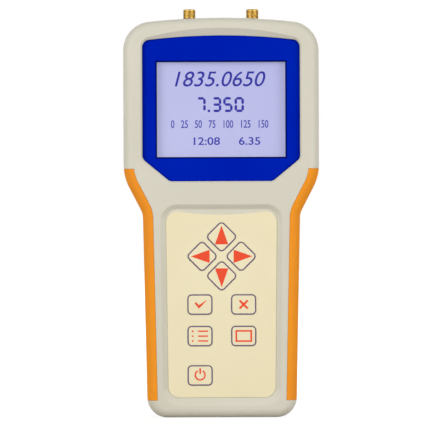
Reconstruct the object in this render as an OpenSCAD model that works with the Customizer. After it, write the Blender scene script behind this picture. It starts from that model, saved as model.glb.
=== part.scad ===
// Handheld antenna analyzer: a two-part case with a wide head and a narrower handle, a sunk
// display panel, nine keys, two threaded jacks and a battery bay behind a hooked door.
// The front faces -Y, +Z is up, and the origin is the middle of the flat bottom end.

/* [Case] */
// Height of the handle, from the bottom end to the waist
handle_h = 105.6; // [95:0.1:120]
// Height of the neck, from the waist to the shoulder
neck_h = 19.2; // [15:0.1:24]
// Height of the head, from the shoulder to the crown
head_h = 82.2; // [74:0.1:95]
// Width of the head
head_w = 101.3; // [91:0.1:112]
// Thickness, front to back
case_t = 37; // [36:0.1:42]
// Width of the handle at the bottom end, before its corners are rounded
base_w = 77; // [72:0.1:82]
// Width of the handle where the neck starts
waist_w = 81.5; // [76:0.1:88]
// Radius of the arc over the crown
crown_r = 350; // [250:1:600]
// Radius of the head's top corners
head_corner_r = 15; // [12:0.1:18]
// Radius at the head's lower corners
shoulder_r = 26; // [15:0.5:32]
// Radius at the waist
waist_r = 10; // [4:0.5:16]
// Radius of the bottom corners
base_corner_r = 10.4; // [9:0.1:14]
// Radius round the edge of the front face
front_edge_r = 5; // [4:0.1:5.2]
// Radius round the edge of the rear face
rear_edge_r = 5.2; // [4:0.1:5.2]
// Thickness of the case wall
wall = 2.8; // [2.4:0.1:3.2]
// Height of the lip that locates the two shells
lip_h = 1.2; // [0.6:0.1:2]
// Thickness of the lip
lip_t = 1.3; // [1:0.1:1.6]
// Width of the groove along the seam of the case
seam_groove = 0.3; // [0.1:0.05:0.6]

/* [Display] */
// Distance between the side of the head and the display panel
panel_border = 9.95; // [9:0.05:12]
// Distance between the panel's side and the window
window_side = 7.5; // [6.5:0.1:10]
// Distance from the panel's arched top down to the window
window_top = 13.7; // [12:0.1:18]
// Distance from the panel's bottom edge up to the window
window_foot = 12.5; // [10:0.1:16]
// Width of the panel's bottom edge
panel_foot_w = 53.2; // [46:0.1:60]
// Distance from the crown down to the panel's arched top
panel_drop = 9.4; // [8.5:0.1:11]
// Distance from the shoulder down to the panel's bottom edge
panel_foot_drop = 2.5; // [0:0.1:5]
// Height of the slanted lower corners of the panel
panel_slant_h = 11.6; // [8:0.1:16]
// Radius of the arc along the panel's top
panel_crown_r = 312; // [250:1:500]
// Radius of the panel's corners
panel_corner_r = 3.8; // [2:0.1:6]
// Thickness of the panel
panel_t = 1.1; // [0.8:0.1:1.4]
// How far the panel's face lies below the case's face
panel_sink = 2.4; // [1:0.1:2.5]
// How far the dished slope reaches above the panel's top
dish_reach = 3.7; // [2:0.1:4.3]
// Width of the bevel round the panel's recess
panel_bevel = 0.8; // [0.3:0.1:1.2]
// Thickness of the clear pane
pane_t = 1.2; // [0.8:0.1:1.3]
// Thickness of the LCD glass
glass_t = 1.8; // [1.2:0.1:2.2]
// Thickness of the backlight
backlight_t = 2.7; // [2:0.1:3]
// Width of the display module's steel frame beyond the window, each side
frame_border = 3.8; // [3:0.1:4.2]

/* [Keypad] */
// Distance from the bottom end up to the overlay's lower edge
overlay_z0 = 10.5; // [9.5:0.1:12]
// How far the overlay's upper edge lies above the waist
overlay_rise = 1.7; // [0:0.1:3]
// How far the overlay's upper edge sags towards the middle
overlay_sag = 2; // [0:0.1:2.4]
// Distance between the side of the handle and the overlay, at the waist
overlay_waist_border = 12.1; // [11:0.05:13]
// Distance between the side of the handle and the overlay, at the bottom
overlay_base_border = 10.95; // [10:0.05:12]
// Radius of the overlay's corners
overlay_corner_r = 5.6; // [3:0.1:8]
// Thickness of the overlay
overlay_t = 0.5; // [0.3:0.1:0.8]
// Depth of the keypad recess
recess_depth = 2; // [1.4:0.1:2.6]
// How far the recess's upper brim sags towards the middle
brim_sag = 0.1; // [0.05:0.05:0.5]
// Width of the recess's sloped wall along the sides
slope_side = 3.4; // [2:0.1:3.8]
// Width of the recess's sloped wall at the top
slope_top = 3.3; // [2:0.1:4]
// Width of the recess's sloped wall at the bottom
slope_base = 4.4; // [2:0.1:4.8]
// Distance from the overlay's upper edge down to the middle of the four arrow keys
arrows_drop = 23.9; // [22:0.1:26]
// Distance of each arrow key from their middle
arrow_step = 10.1; // [9.6:0.1:10.8]
// Side of an arrow key, which stands on its corner
arrow_side = 12; // [10:0.1:12.6]
// Width of an oblong key
key_w = 13.1; // [11:0.1:15]
// Height of an oblong key
key_h = 10.7; // [9:0.1:12]
// Corner radius of every key
key_r = 2.3; // [1:0.1:3.4]
// Distance of the oblong keys from the middle line
key_column = 11.3; // [10:0.1:13]
// Distance from the middle of the arrow keys down to the tick and the cross
confirm_drop = 24.9; // [23.5:0.1:28]
// Distance from the overlay's lower edge up to the middle of the power key
power_rise = 11.4; // [8:0.1:13]
// Where the menu row lies between the power key, 0, and the tick, 1
menu_share = 0.555; // [0.45:0.005:0.6]
// How far a key stands above the overlay
key_rise = 0.15; // [0.1:0.05:0.4]
// Travel of a key
key_travel = 0.3; // [0.2:0.05:0.5]

/* [Switches] */
// Side of a switch body
switch_side = 6; // [5:0.1:7]
// Height of a switch body
switch_h = 3.5; // [3:0.1:4.5]
// Diameter of a switch plunger
plunger_d = 3.5; // [2.5:0.1:4]

/* [Grips] */
// Height of a grip's lower end
grip_z0 = 9.1; // [8:0.1:14]
// Height of a grip's upper end
grip_z1 = 128.7; // [120:0.1:134]
// How far a grip reaches in from the side, seen from the front
grip_reach = 5.4; // [5.4:0.1:7]
// Thickness of a grip
grip_t = 1.4; // [1:0.1:1.6]

/* [Antenna jacks] */
// Distance of each jack from the middle line
jack_x = 16.4; // [12:0.1:22]
// Diameter over the thread
thread_d = 6.35; // [6:0.05:7]
// Length of the thread above its neck
thread_l = 4.6; // [3.5:0.1:6]
// Height of the jack's tip above the crown
jack_rise = 4.9; // [4:0.1:7]
// Bevel at the tip of the thread
tip_bevel = 0.4; // [0.2:0.05:0.6]
// Diameter of the jack's bore
jack_bore_d = 4.6; // [4.2:0.05:4.8]
// Diameter of the centre contact
contact_d = 1.27; // [1:0.01:1.6]
// Width of the jack's foot
foot_w = 9.5; // [8:0.1:11]

/* [Battery] */
// Diameter of a cell
cell_d = 14.2; // [13.5:0.1:14.5]
// Length of a cell with its nub
cell_l = 50.5; // [49:0.1:50.5]
// Length of a battery spring when a cell presses it
spring_l = 5.5; // [4:0.1:6.5]
// Diameter of the spring wire
spring_wire = 0.7; // [0.5:0.05:0.9]
// Thickness of the contact plates
contact_t = 0.4; // [0.3:0.05:0.5]
// Height of the bay's floor end above the bottom end of the case
bay_z0 = 15.5; // [15:0.1:18]
// Thickness of the bay's side walls
bay_wall = 2.4; // [2:0.1:2.6]
// Thickness of the bay's floor
bay_floor = 1.5; // [1.2:0.1:1.8]
// Thickness of the battery door
door_t = 2; // [1.6:0.1:2.2]
// Width of a hook tab
tab_w = 9; // [6:0.1:12]
// Height of a hook tab behind the case wall
tab_h = 2.6; // [1.5:0.1:3.5]
// Width of the latch
latch_w = 12; // [8:0.1:16]

/* [Boards] */
// Thickness of the main board
board_t = 1.6; // [1.2:0.1:1.8]
// Distance of the main board's front face in front of the seam
board_depth = 5; // [4.9:0.1:5.2]
// Distance between the main board's edge and the side of the case
board_inset = 4.6; // [4.2:0.1:5.5]
// Thickness of the display module's board
lcd_board_t = 1.6; // [1.2:0.1:1.8]
// Width of the shield can
shield_w = 46; // [30:0.5:50]
// Height of the shield can
shield_h = 30; // [20:0.5:34]
// Depth of the shield can
shield_d = 4.5; // [3:0.1:6]
// Width of the USB socket
usb_w = 7.7; // [7:0.1:8.5]
// Depth of the USB socket, front to back
usb_t = 3.9; // [3:0.1:4.2]
// Length of the USB socket
usb_l = 9.2; // [8:0.1:10]

/* [Fasteners] */
// Diameter of a case screw's thread
screw_d = 2.9; // [2.5:0.1:3.2]
// Diameter of a case screw's head
screw_head_d = 5.5; // [5:0.1:6]
// Outer diameter of the case bosses
boss_d = 6.4; // [6:0.1:7]
// Diameter of a small screw's thread
small_screw_d = 2.2; // [1.8:0.1:2.4]
// Diameter of a small screw's head
small_head_d = 4.2; // [3.8:0.1:4.6]
// Outer diameter of the posts that carry the boards
post_d = 4.8; // [4.6:0.1:5.2]

/* [Clearances] */
// Gap between fixed pieces that fit together
fit = 0.1; // [0.05:0.05:0.2]
// Gap round a key
key_gap = 0.15; // [0.1:0.05:0.3]
// Gap round a plunger in its switch body
plunger_gap = 0.05; // [0.03:0.01:0.1]
// Gap along the sides of the battery door
door_gap = 0.2; // [0.15:0.05:0.4]
// Gap round the door's nose, which turns under the case wall
nose_gap = 0.1; // [0.08:0.01:0.2]

/* [Hidden] */
$fn = 48;
face_y = -case_t / 2;
rear_y = case_t / 2;
waist_z = handle_h;
shoulder_z = waist_z + neck_h;
case_h = shoulder_z + head_h;
panel_w = head_w - 2 * panel_border;
panel_crown_z = case_h - panel_drop;
panel_base_z = shoulder_z - panel_foot_drop;
window_w = panel_w - 2 * window_side;
window_h = panel_crown_z - window_top - panel_base_z - window_foot;
window_z = panel_base_z + window_foot + window_h / 2;
panel_depth = panel_sink + panel_t;
// Width of the clear pane beyond the window, each side
pane_lap = 2.6;
// Thickness of the plastic behind the display panel and behind the keypad
panel_backing = 1.4;
keypad_backing = 2.2;
panel_floor_y = face_y + panel_depth;
panel_back_y = panel_floor_y + panel_backing;
keypad_floor_y = face_y + recess_depth;
keypad_back_y = keypad_floor_y + keypad_backing;
overlay_y = keypad_floor_y - overlay_t;
overlay_z1 = waist_z + overlay_rise;
overlay_top_w = waist_w - 2 * overlay_waist_border;
overlay_base_w = base_w - 2 * overlay_base_border;
// A key sinks into a shallow relief behind the overlay
relief_depth = key_travel + 0.15;
// Steps in a quarter turn of the case's round edges
edge_steps = 5;
inner_steps = 3;

// The boards stand behind the front shell
board_y = -board_depth;
board_back_y = board_y + board_t;
board_mid_y = board_y + board_t / 2;
board_z0 = 4.2;
board_z1 = case_h - 7.5;
frame_skin = 0.5;
frame_y = panel_back_y + fit;
glass_y = frame_y + frame_skin + fit;
backlight_y = glass_y + glass_t + fit;
lcd_board_y = backlight_y + backlight_t + fit;
lcd_board_back_y = lcd_board_y + lcd_board_t;
shield_z = board_z1 - 8 - shield_h / 2;
frame_w = window_w + 2 * frame_border;
frame_h = window_h + 2 * frame_border;
lcd_post_x = frame_w / 2 + 0.5;
lcd_post_z = frame_h / 2 + post_d / 2 + 0.2;
lcd_board_w = 2 * lcd_post_x + post_d + 0.4;
lcd_board_h = 2 * lcd_post_z + post_d + 0.4;

// Case screws and board posts, each as [x, z] on the right-hand side
boss_x = head_w / 2 - wall - boss_d / 2 - 0.7;
top_boss_z = case_h - 17;
low_boss_z = shoulder_z + 9.4;
base_boss = [base_w / 2 - 16.5, wall + 4.6];
boss_places = [[boss_x, top_boss_z], [boss_x, low_boss_z], base_boss];
board_posts = [[boss_x - 0.4, window_z], [waist_w / 2 - 11.75, waist_z - 6],
    [base_w / 2 - 8.5, board_z0 + 15]];
lcd_posts = [[lcd_post_x, window_z + lcd_post_z], [lcd_post_x, window_z - lcd_post_z]];
screw_head_h = 2.2;
screw_sink = 4;
screw_l = 22;
screw_tip_y = rear_y - screw_sink - screw_l;
small_head_h = 1.6;
small_screw_l = 6;

arrows_z = overlay_z1 - arrows_drop;
row_confirm_z = arrows_z - confirm_drop;
row_power_z = overlay_z0 + power_rise;
row_menu_z = row_power_z + (row_confirm_z - row_power_z) * menu_share;
// The keys: [x, z, is an arrow key]
key_spots = [
    [0, arrows_z + arrow_step, true], [-arrow_step, arrows_z, true],
    [arrow_step, arrows_z, true], [0, arrows_z - arrow_step, true],
    [-key_column, row_confirm_z, false], [key_column, row_confirm_z, false],
    [-key_column, row_menu_z, false], [key_column, row_menu_z, false],
    [-key_column, row_power_z, false]
];
key_back_y = keypad_floor_y;
switch_y = board_y - switch_h;
plunger_foot_y = switch_y + switch_h / 2;

// Antenna jacks
jack_y = board_mid_y;
jack_tip_z = case_h + jack_rise;
thread_z0 = jack_tip_z - tip_bevel - thread_l;
neck_d = thread_d - 0.8;
foot_z = board_z1 + 0.1;
foot_h = 2;
tine_l = 4;
tine_t = 1;
insulator_z1 = jack_tip_z - 1.9;

// The battery bay and its door
cell_gap = 0.3;
bay_play = 0.5;
cell_pitch = cell_d + cell_gap;
bay_w = 4 * cell_d + 3 * cell_gap + 2 * bay_play;
bay_h = cell_l + spring_l + 2 * contact_t + 2 * fit;
bay_z1 = bay_z0 + bay_h;
door_in_y = rear_y - door_t;
pad_t = 0.7;
cell_y = door_in_y - pad_t - 0.05 - cell_d / 2;
bay_floor_y1 = cell_y - cell_d / 2 - 0.1;
bay_floor_y0 = bay_floor_y1 - bay_floor;
bay_rim_y = door_in_y - fit;
// The door turns about the line where its nose lies under the wall's inner face
hinge_y = rear_y - wall;
nose_r = wall;
hinge_z = bay_z1 + bay_wall + 1.7;
door_z0 = bay_z0 - 2.5;
door_w = bay_w + 2 * bay_wall - 1;
tab_x = door_w / 2 - tab_w / 2 - 6;
tab_t = 1.4;
latch_l = 3;
latch_t = 1.2;
tail_w = 3;
cell_x = [for (i = [0:3]) (i - 1.5) * cell_pitch];
// Cells lie head to tail: +1 has its nub up
cell_up = [1, -1, 1, -1];
nub_l = 1.2;
nub_d = 5.5;

// ---- Outlines -------------------------------------------------------------------------
// An outline is a list of steps [centre x, centre z, signed radius, heading]: a place on an
// arc, which can be moved inwards by any inset. Only the right half is listed, bottom to top.

function heading(a, b) = atan2(b.y - a.y, b.x - a.x);

function corner_arc(a, b, c, r, steps) =
    let (start = heading(a, b), turn = (heading(b, c) - start + 540) % 360 - 180)
    let (side = sign(turn))
    let (touch = b - r * tan(abs(turn) / 2) * [cos(start), sin(start)])
    let (centre = touch + side * r * [-sin(start), cos(start)])
    [for (i = [0:steps]) [centre.x, centre.y, side * r, start + turn * i / steps]];

// The corner between a straight side and an arched top, then the arch to the middle line
function arched_top(half_w, crown_z, arch_r, r, steps, arch_steps) =
    let (low = crown_z - arch_r, x = half_w - r)
    let (z = low + sqrt(pow(arch_r - r, 2) - x * x), lean = asin(x / (arch_r - r)))
    concat(
        [for (i = [0:steps]) [x, z, r, 90 + (90 - lean) * i / steps]],
        [for (i = [1:arch_steps]) [0, low, arch_r, 180 - lean + lean * i / arch_steps]]
    );

function place(step, inset) =
    [step[0], step[1]] + (step[2] - inset) * [sin(step[3]), -cos(step[3])];

function half_ring(steps, inset) = [for (s = steps) place(s, inset)];

// Both halves: the left one mirrors the right one, and a point on the middle line is not
// repeated
function full_ring(half) =
    let (last = len(half) - 1, middle = abs(half[last].x) < 0.001 ? 1 : 0)
    concat(half, [for (i = [last - middle:-1:0])
        [for (k = [0:len(half[i]) - 1]) k == 0 ? -half[i][k] : half[i][k]]]);

function lift(ring, y) = [for (p = ring) [p.x, y, p.y]];

case_steps = concat(
    corner_arc([0, 0], [base_w / 2, 0], [waist_w / 2, waist_z], base_corner_r, 6),
    corner_arc([base_w / 2, 0], [waist_w / 2, waist_z], [head_w / 2, shoulder_z], waist_r, 3),
    corner_arc([waist_w / 2, waist_z], [head_w / 2, shoulder_z], [head_w / 2, case_h],
        shoulder_r, 5),
    arched_top(head_w / 2, case_h, crown_r, head_corner_r, 6, 4)
);
panel_steps = concat(
    corner_arc([0, panel_base_z], [panel_foot_w / 2, panel_base_z],
        [panel_w / 2, panel_base_z + panel_slant_h], panel_corner_r, 3),
    corner_arc([panel_foot_w / 2, panel_base_z], [panel_w / 2, panel_base_z + panel_slant_h],
        [panel_w / 2, panel_crown_z], panel_corner_r, 3),
    arched_top(panel_w / 2, panel_crown_z, panel_crown_r, panel_corner_r, 4, 6)
);

// Half of a rounded panel that widens upwards. Its top edge sags as a parabola from the corner
// to the middle line, where its height falls with 1 - (x / corner's x)^2.
function tapered_steps(base_hw, top_hw, z0, z1, r, sag) =
    let (corner = corner_arc([base_hw, z0], [top_hw, z1], [0, z1 - 2 * sag], r, 5))
    let (end = place(corner[5], 0), tilt = 2 * sag / top_hw)
    concat(
        corner_arc([0, z0], [base_hw, z0], [top_hw, z1], r, 5),
        corner,
        [for (i = [1:4]) let (t = 1 - i / 4)
            [end.x * t, end.y - end.x * tilt / 2 * (1 - t * t), 0, 180 + atan(tilt * t)]]
    );
overlay_steps = tapered_steps(overlay_base_w / 2, overlay_top_w / 2, overlay_z0, overlay_z1,
    overlay_corner_r, overlay_sag);
foot_steps = tapered_steps(overlay_base_w / 2, overlay_top_w / 2, overlay_z0, overlay_z1,
    overlay_corner_r, brim_sag);
brim_steps = tapered_steps(overlay_base_w / 2 + slope_side, overlay_top_w / 2 + slope_side,
    overlay_z0 - slope_base, overlay_z1 + slope_top, overlay_corner_r + slope_side, brim_sag);

case_ring = function (inset, y) lift(full_ring(half_ring(case_steps, inset)), y);
panel_ring = function (inset, y) lift(full_ring(half_ring(panel_steps, inset)), y);

// A round edge between a face and the side: [inset, distance from the face] at each step
function round_edge(r, deep, steps) =
    [for (i = [0:steps]) [r - (r - deep) * sin(90 * i / steps),
        r - (r - deep) * cos(90 * i / steps)]];
function reversed(list) = [for (i = [len(list) - 1:-1:0]) list[i]];

// ---- Solids ---------------------------------------------------------------------------

// Solid through a list of mirrored rings, with flat ends made of strips across the middle
module skin(rings) {
    n = len(rings[0]);
    last = (len(rings) - 1) * n;
    strips = floor(n / 2) - 1;
    sides = [for (j = [0:len(rings) - 2]) for (i = [0:n - 1]) let (k = (i + 1) % n)
        each [[j * n + i, j * n + k, (j + 1) * n + k], [j * n + i, (j + 1) * n + k, (j + 1) * n + i]]];
    caps = [for (i = [0:strips - 1]) each [
        [i, n - 1 - i, n - 2 - i, i + 1],
        [last + i, last + i + 1, last + n - 2 - i, last + n - 1 - i]]];
    tips = n % 2 == 0 ? [] : [
        [strips, strips + 2, strips + 1], [last + strips, last + strips + 1, last + strips + 2]];
    polyhedron(points = [for (ring = rings) each ring], faces = concat(sides, caps, tips));
}

// A flat shape drawn in X and Z, standing between two depths
module slab(y0, y1) {
    translate([0, y1, 0]) rotate([90, 0, 0]) linear_extrude(y1 - y0) children();
}

module rounded_shape(w, h, r) {
    square([w, h - 2 * r], center = true);
    square([w - 2 * r, h], center = true);
    for (x = [-1, 1], z = [-1, 1]) translate([x * (w / 2 - r), z * (h / 2 - r)]) circle(r);
}

module rod(x, z, d, y0, y1) {
    translate([x, y0, z]) rotate([-90, 0, 0]) cylinder(d = d, h = y1 - y0);
}

module block(w, h, y0, y1, x = 0, z = 0) {
    translate([x - w / 2, y0, z - h / 2]) cube([w, y1 - y0, h]);
}

module on_both_sides() {
    children();
    mirror([1, 0, 0]) children();
}

module key_shape(spot, grow) {
    translate([spot[0], spot[1]])
        if (spot[2])
            rotate(45) rounded_shape(arrow_side + 2 * grow, arrow_side + 2 * grow, key_r + grow);
        else
            rounded_shape(key_w + 2 * grow, key_h + 2 * grow, key_r + grow);
}

// ---- Case -----------------------------------------------------------------------------

// Section of a grip as [inset, y], from the front face round the side to the rear face, at a
// depth below the surface. A negative depth lies outside the case.
function grip_contour(depth, slack) =
    let (edge = function (r, i) [r - (r - depth) * sin(90 * i / edge_steps),
        r - (r - depth) * cos(90 * i / edge_steps)])
    concat(
        [[grip_reach + slack, face_y + depth]],
        [for (i = [0:edge_steps]) let (p = edge(front_edge_r, i)) [p.x, face_y + p.y]],
        [for (i = [edge_steps:-1:0]) let (p = edge(rear_edge_r, i)) [p.x, rear_y - p.y]],
        [[grip_reach + slack, rear_y - depth]]
    );

// A strip that follows the side of the case from the bottom corner up to the head
module side_strip(outer_depth, inner_depth, slack) {
    outer = grip_contour(outer_depth, slack);
    inner = reversed(grip_contour(inner_depth, slack));
    section = concat(outer, inner);
    n = len(section);
    half = len(outer);
    stations = [for (i = [2:len(case_steps) - 1]) if (case_steps[i][3] <= 90.01) case_steps[i]];
    last = (len(stations) - 1) * n;
    points = [for (s = stations) for (p = section) let (q = place(s, p.x)) [q.x, p.y, q.y]];
    sides = [for (j = [0:len(stations) - 2]) for (i = [0:n - 1]) let (k = (i + 1) % n)
        each [[j * n + i, (j + 1) * n + k, j * n + k], [j * n + i, (j + 1) * n + i, (j + 1) * n + k]]];
    caps = [for (i = [0:half - 2]) each [
        [i, i + 1, n - 2 - i, n - 1 - i],
        [last + i, last + n - 1 - i, last + n - 2 - i, last + i + 1]]];
    intersection() {
        polyhedron(points = points, faces = concat(sides, caps));
        translate([0, face_y - 5, grip_z0 - slack])
            cube([head_w, case_t + 10, grip_z1 - grip_z0 + 2 * slack]);
    }
}

module grip_channels() {
    on_both_sides() side_strip(-2, grip_t + fit, fit);
}

// The keypad recess: a rounded slope from its brim on the face down to a flat floor
module keypad_recess() {
    foot = half_ring(foot_steps, -fit);
    brim = half_ring(brim_steps, 0);
    profile = [[1.06, -0.3], [1, 0], [0.85, 0.1], [0.7, 0.35], [0.5, 0.74], [0.3, 0.98], [0, 1]];
    skin([for (p = profile)
        lift(full_ring(foot + p[0] * (brim - foot)), face_y + p[1] * recess_depth)]);
}

// How far a step of the panel's outline belongs to the dish: 0 along the sides, 1 mid-top
function dish_share(step) = step[3] > 90 ? 1 - pow(place(step, 0).x / (panel_w / 2), 2) : 0;

// A point on the slope round the panel, from its brim at t = 0 down to the panel at t = 1.
// The plain bevel of the sides and bottom grows into the dished slope along the arched top.
function slope_point(step, t) =
    let (share = dish_share(step))
    let (wide = panel_bevel + (dish_reach - panel_bevel) * share)
    let (deep = panel_bevel + (panel_sink - panel_bevel) * share)
    let (p = place(step, -fit - wide * (1 - t)))
    [p.x, face_y + deep * t, p.y];

module panel_recess() {
    brim = [for (s = panel_steps) slope_point(s, 0)];
    skin([
        full_ring([for (p = brim) [p.x, face_y - 1, p.z]]),
        full_ring(brim),
        full_ring([for (s = panel_steps) slope_point(s, 1)]),
        panel_ring(-fit, panel_floor_y)
    ]);
}

module front_shell() {
    outer = [for (p = round_edge(front_edge_r, 0, edge_steps)) [p.x, face_y + p.y]];
    inner = [for (p = round_edge(front_edge_r, wall, inner_steps)) [p.x, face_y + p.y]];
    rim = [[0, -seam_groove], [seam_groove, 0], [wall - lip_t, 0], [wall - lip_t, lip_h],
        [wall, lip_h]];
    color("gainsboro") difference() {
        union() {
            difference() {
                skin([for (p = concat(outer, rim, reversed(inner))) case_ring(p.x, p.y)]);
                grip_channels();
            }
            // Plastic behind the display panel and behind the keypad
            slab(face_y + wall / 2, panel_back_y) polygon(full_ring(half_ring(panel_steps, -1.6)));
            slab(face_y + wall / 2, keypad_back_y)
                polygon(full_ring(half_ring(brim_steps, -0.8)));
            for (p = boss_places, x = [-1, 1])
                rod(x * p.x, p.y, boss_d, face_y + wall - 0.5, -fit);
            for (p = board_posts, x = [-1, 1])
                rod(x * p.x, p.y, post_d, face_y + wall - 0.5, board_y - fit);
            for (p = lcd_posts, x = [-1, 1])
                rod(x * p.x, p.y, post_d, face_y + wall - 0.5, lcd_board_y - fit);
        }
        panel_recess();
        keypad_recess();
        // Opening for the clear pane
        block(window_w + 2 * pane_lap + 2 * fit, window_h + 2 * pane_lap + 2 * fit,
            panel_floor_y - 1, panel_back_y + 1, 0, window_z);
        // Behind each key: a relief for its travel and a hole for its plunger
        for (spot = key_spots) {
            slab(keypad_floor_y - 1, keypad_floor_y + relief_depth) key_shape(spot, key_gap);
            rod(spot[0], spot[1], plunger_d + 1, keypad_floor_y, keypad_back_y + 1);
        }
        for (p = boss_places, x = [-1, 1])
            rod(x * p.x, p.y, screw_d + 2 * fit, screw_tip_y - 1, 1);
        for (p = board_posts, x = [-1, 1])
            rod(x * p.x, p.y, small_screw_d + 2 * fit, board_y - small_screw_l, board_y + 1);
        for (p = lcd_posts, x = [-1, 1])
            rod(x * p.x, p.y, small_screw_d + 2 * fit, face_y + wall + 1, lcd_board_y + 1);
        // Holes for the jacks and the USB socket
        for (x = [-1, 1])
            translate([x * jack_x, jack_y, case_h - 12]) cylinder(d = thread_d + 0.6, h = 20);
        translate([-usb_w / 2 - 0.4, board_y - usb_t - 0.4, -1])
            cube([usb_w + 0.8, usb_t + 0.8, wall + 3]);
    }
}

module rear_shell() {
    outer = [for (p = round_edge(rear_edge_r, 0, edge_steps)) [p.x, rear_y - p.y]];
    inner = [for (p = round_edge(rear_edge_r, wall, inner_steps)) [p.x, rear_y - p.y]];
    rim = [[wall, lip_h + fit], [wall - lip_t - fit, lip_h + fit], [wall - lip_t - fit, 0],
        [seam_groove, 0], [0, seam_groove]];
    color("gainsboro") difference() {
        union() {
            difference() {
                skin([for (p = concat(inner, rim, reversed(outer))) case_ring(p.x, p.y)]);
                grip_channels();
            }
            battery_block();
            for (p = boss_places, x = [-1, 1]) rod(x * p.x, p.y, boss_d, 0, rear_y - wall + 0.5);
            rear_ribs();
        }
        door_opening();
        block(bay_w, bay_h, bay_floor_y1, rear_y + 1, 0, (bay_z0 + bay_z1) / 2);
        for (p = boss_places, x = [-1, 1]) {
            rod(x * p.x, p.y, screw_head_d + 0.5, rear_y - screw_sink, rear_y + 1);
            rod(x * p.x, p.y, screw_d + 0.4, -1, rear_y);
        }
        // Slots for the two tails that join the battery to the board
        for (x = [cell_x[0], cell_x[3]])
            block(tail_w + 0.6, contact_t + 2 * fit, bay_floor_y0 - 1, bay_floor_y1 + 1,
                x, bay_z1 - contact_t / 2 - fit / 2);
    }
}

// The block that the battery bay is hollowed from
module battery_block() {
    outer_w = bay_w + 2 * bay_wall;
    outer_h = bay_h + 2 * bay_wall + 0.8;
    block(outer_w, outer_h, bay_floor_y0, rear_y - 1, 0, (bay_z0 + bay_z1) / 2 - 0.4);
}

// Stiffening ribs inside the head of the rear shell
module rear_ribs() {
    rib_t = 1.2;
    rib_h = 4;
    for (z = [low_boss_z, top_boss_z])
        block(2 * boss_x - boss_d / 2, rib_t, rear_y - wall - rib_h, rear_y - wall + 0.5, 0, z);
    for (x = [-1, 0, 1])
        block(rib_t, top_boss_z - low_boss_z, rear_y - wall - rib_h, rear_y - wall + 0.5,
            x * head_w / 5, (top_boss_z + low_boss_z) / 2);
}

// What the battery door needs cut from the rear wall
module door_opening() {
    open_w = door_w + 2 * door_gap;
    translate([-open_w / 2, bay_rim_y, door_z0 - door_gap])
        cube([open_w, wall, hinge_z - door_z0 + door_gap]);
    // The nose turns in a round hollow, and the tabs reach behind the wall
    intersection() {
        translate([-open_w / 2, hinge_y, hinge_z]) rotate([0, 90, 0])
            cylinder(r = nose_r + nose_gap, h = open_w);
        translate([-open_w / 2, hinge_y - 0.5, hinge_z - 1]) cube([open_w, wall + 1, 6]);
    }
    translate([-open_w / 2, bay_floor_y1 + 8, bay_z1 + bay_wall - 0.01])
        cube([open_w, hinge_y - bay_floor_y1 - 8, nose_r + tab_h + 2]);
    translate([-open_w / 2, hinge_y - 1, bay_z1 + bay_wall - 0.01])
        cube([open_w, door_in_y - hinge_y + 1, hinge_z - bay_z1 - bay_wall + 0.01]);
    // Room for the latch
    translate([-latch_w / 2 - 0.4, door_in_y - latch_l - 0.6, door_z0 - door_gap])
        cube([latch_w + 0.8, latch_l + 1, latch_t + 0.8]);
}

module battery_door() {
    color("gainsboro") difference() {
        union() {
            translate([-door_w / 2, door_in_y, door_z0]) cube([door_w, door_t, hinge_z - door_z0]);
            // Nose: a quarter round about the line that the door turns on
            intersection() {
                translate([-door_w / 2, hinge_y, hinge_z]) rotate([0, 90, 0])
                    cylinder(r = nose_r, h = door_w);
                translate([-door_w / 2, hinge_y, hinge_z - 0.6]) cube([door_w, wall, 6]);
            }
            // Hook tabs behind the wall
            for (x = [-1, 1]) {
                translate([x * tab_x - tab_w / 2, hinge_y - tab_t, hinge_z - 0.6])
                    cube([tab_w, tab_t - 0.2, 0.6 + nose_r + tab_h]);
                translate([x * tab_x - tab_w / 2, hinge_y - 0.4, hinge_z - 0.6])
                    cube([tab_w, 0.9, nose_r]);
            }
            // Latch, drawn as a finger holds it, just clear of its catch
            translate([-latch_w / 2, door_in_y - latch_l, door_z0])
                cube([latch_w, latch_l + 0.5, latch_t]);
        }
        // Grooves for a fingertip
        for (i = [0:4])
            translate([-9, rear_y - 0.4, door_z0 + 5 + 2 * i]) cube([18, 1, 0.9]);
    }
}

module door_foam_pad() {
    pad_w = bay_w - 8;
    pad_h = bay_h - 16;
    color("dimgray") block(pad_w, pad_h, door_in_y - pad_t, door_in_y, 0, (bay_z0 + bay_z1) / 2);
}

module right_grip() {
    color("darkorange") side_strip(0, grip_t, 0);
}

module left_grip() {
    color("darkorange") mirror([1, 0, 0]) side_strip(0, grip_t, 0);
}

module screw(x, z, head_y, d, head_d, head_h, length) {
    // The head's flat end lies at head_y, and the shank runs forward from it
    rod(x, z, head_d, head_y - head_h, head_y);
    rod(x, z, d, head_y - head_h - length, head_y - head_h + 0.1);
}

module case_screws() {
    head_y = rear_y - screw_sink + screw_head_h;
    color("silver") for (p = boss_places, x = [-1, 1])
        screw(x * p.x, p.y, head_y, screw_d, screw_head_d, screw_head_h, screw_l);
}

// ---- Display --------------------------------------------------------------------------

module display_bezel() {
    edge = 0.3;
    color("mediumblue") difference() {
        skin([
            panel_ring(edge, face_y + panel_sink),
            panel_ring(0, face_y + panel_sink + edge),
            panel_ring(0, panel_floor_y)
        ]);
        block(window_w, window_h, face_y, panel_floor_y + 1, 0, window_z);
    }
}

module display_window() {
    color("lightblue") block(window_w + 2 * pane_lap, window_h + 2 * pane_lap,
        panel_floor_y, panel_floor_y + pane_t, 0, window_z);
}

module lcd_frame() {
    color("silver") difference() {
        block(frame_w, frame_h, frame_y, lcd_board_y, 0, window_z);
        block(window_w + 2, window_h + 2, frame_y - 1, lcd_board_y, 0, window_z);
        block(frame_w - 2 * frame_skin, frame_h - 2 * frame_skin, frame_y + frame_skin,
            lcd_board_y + 1, 0, window_z);
    }
}

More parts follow.
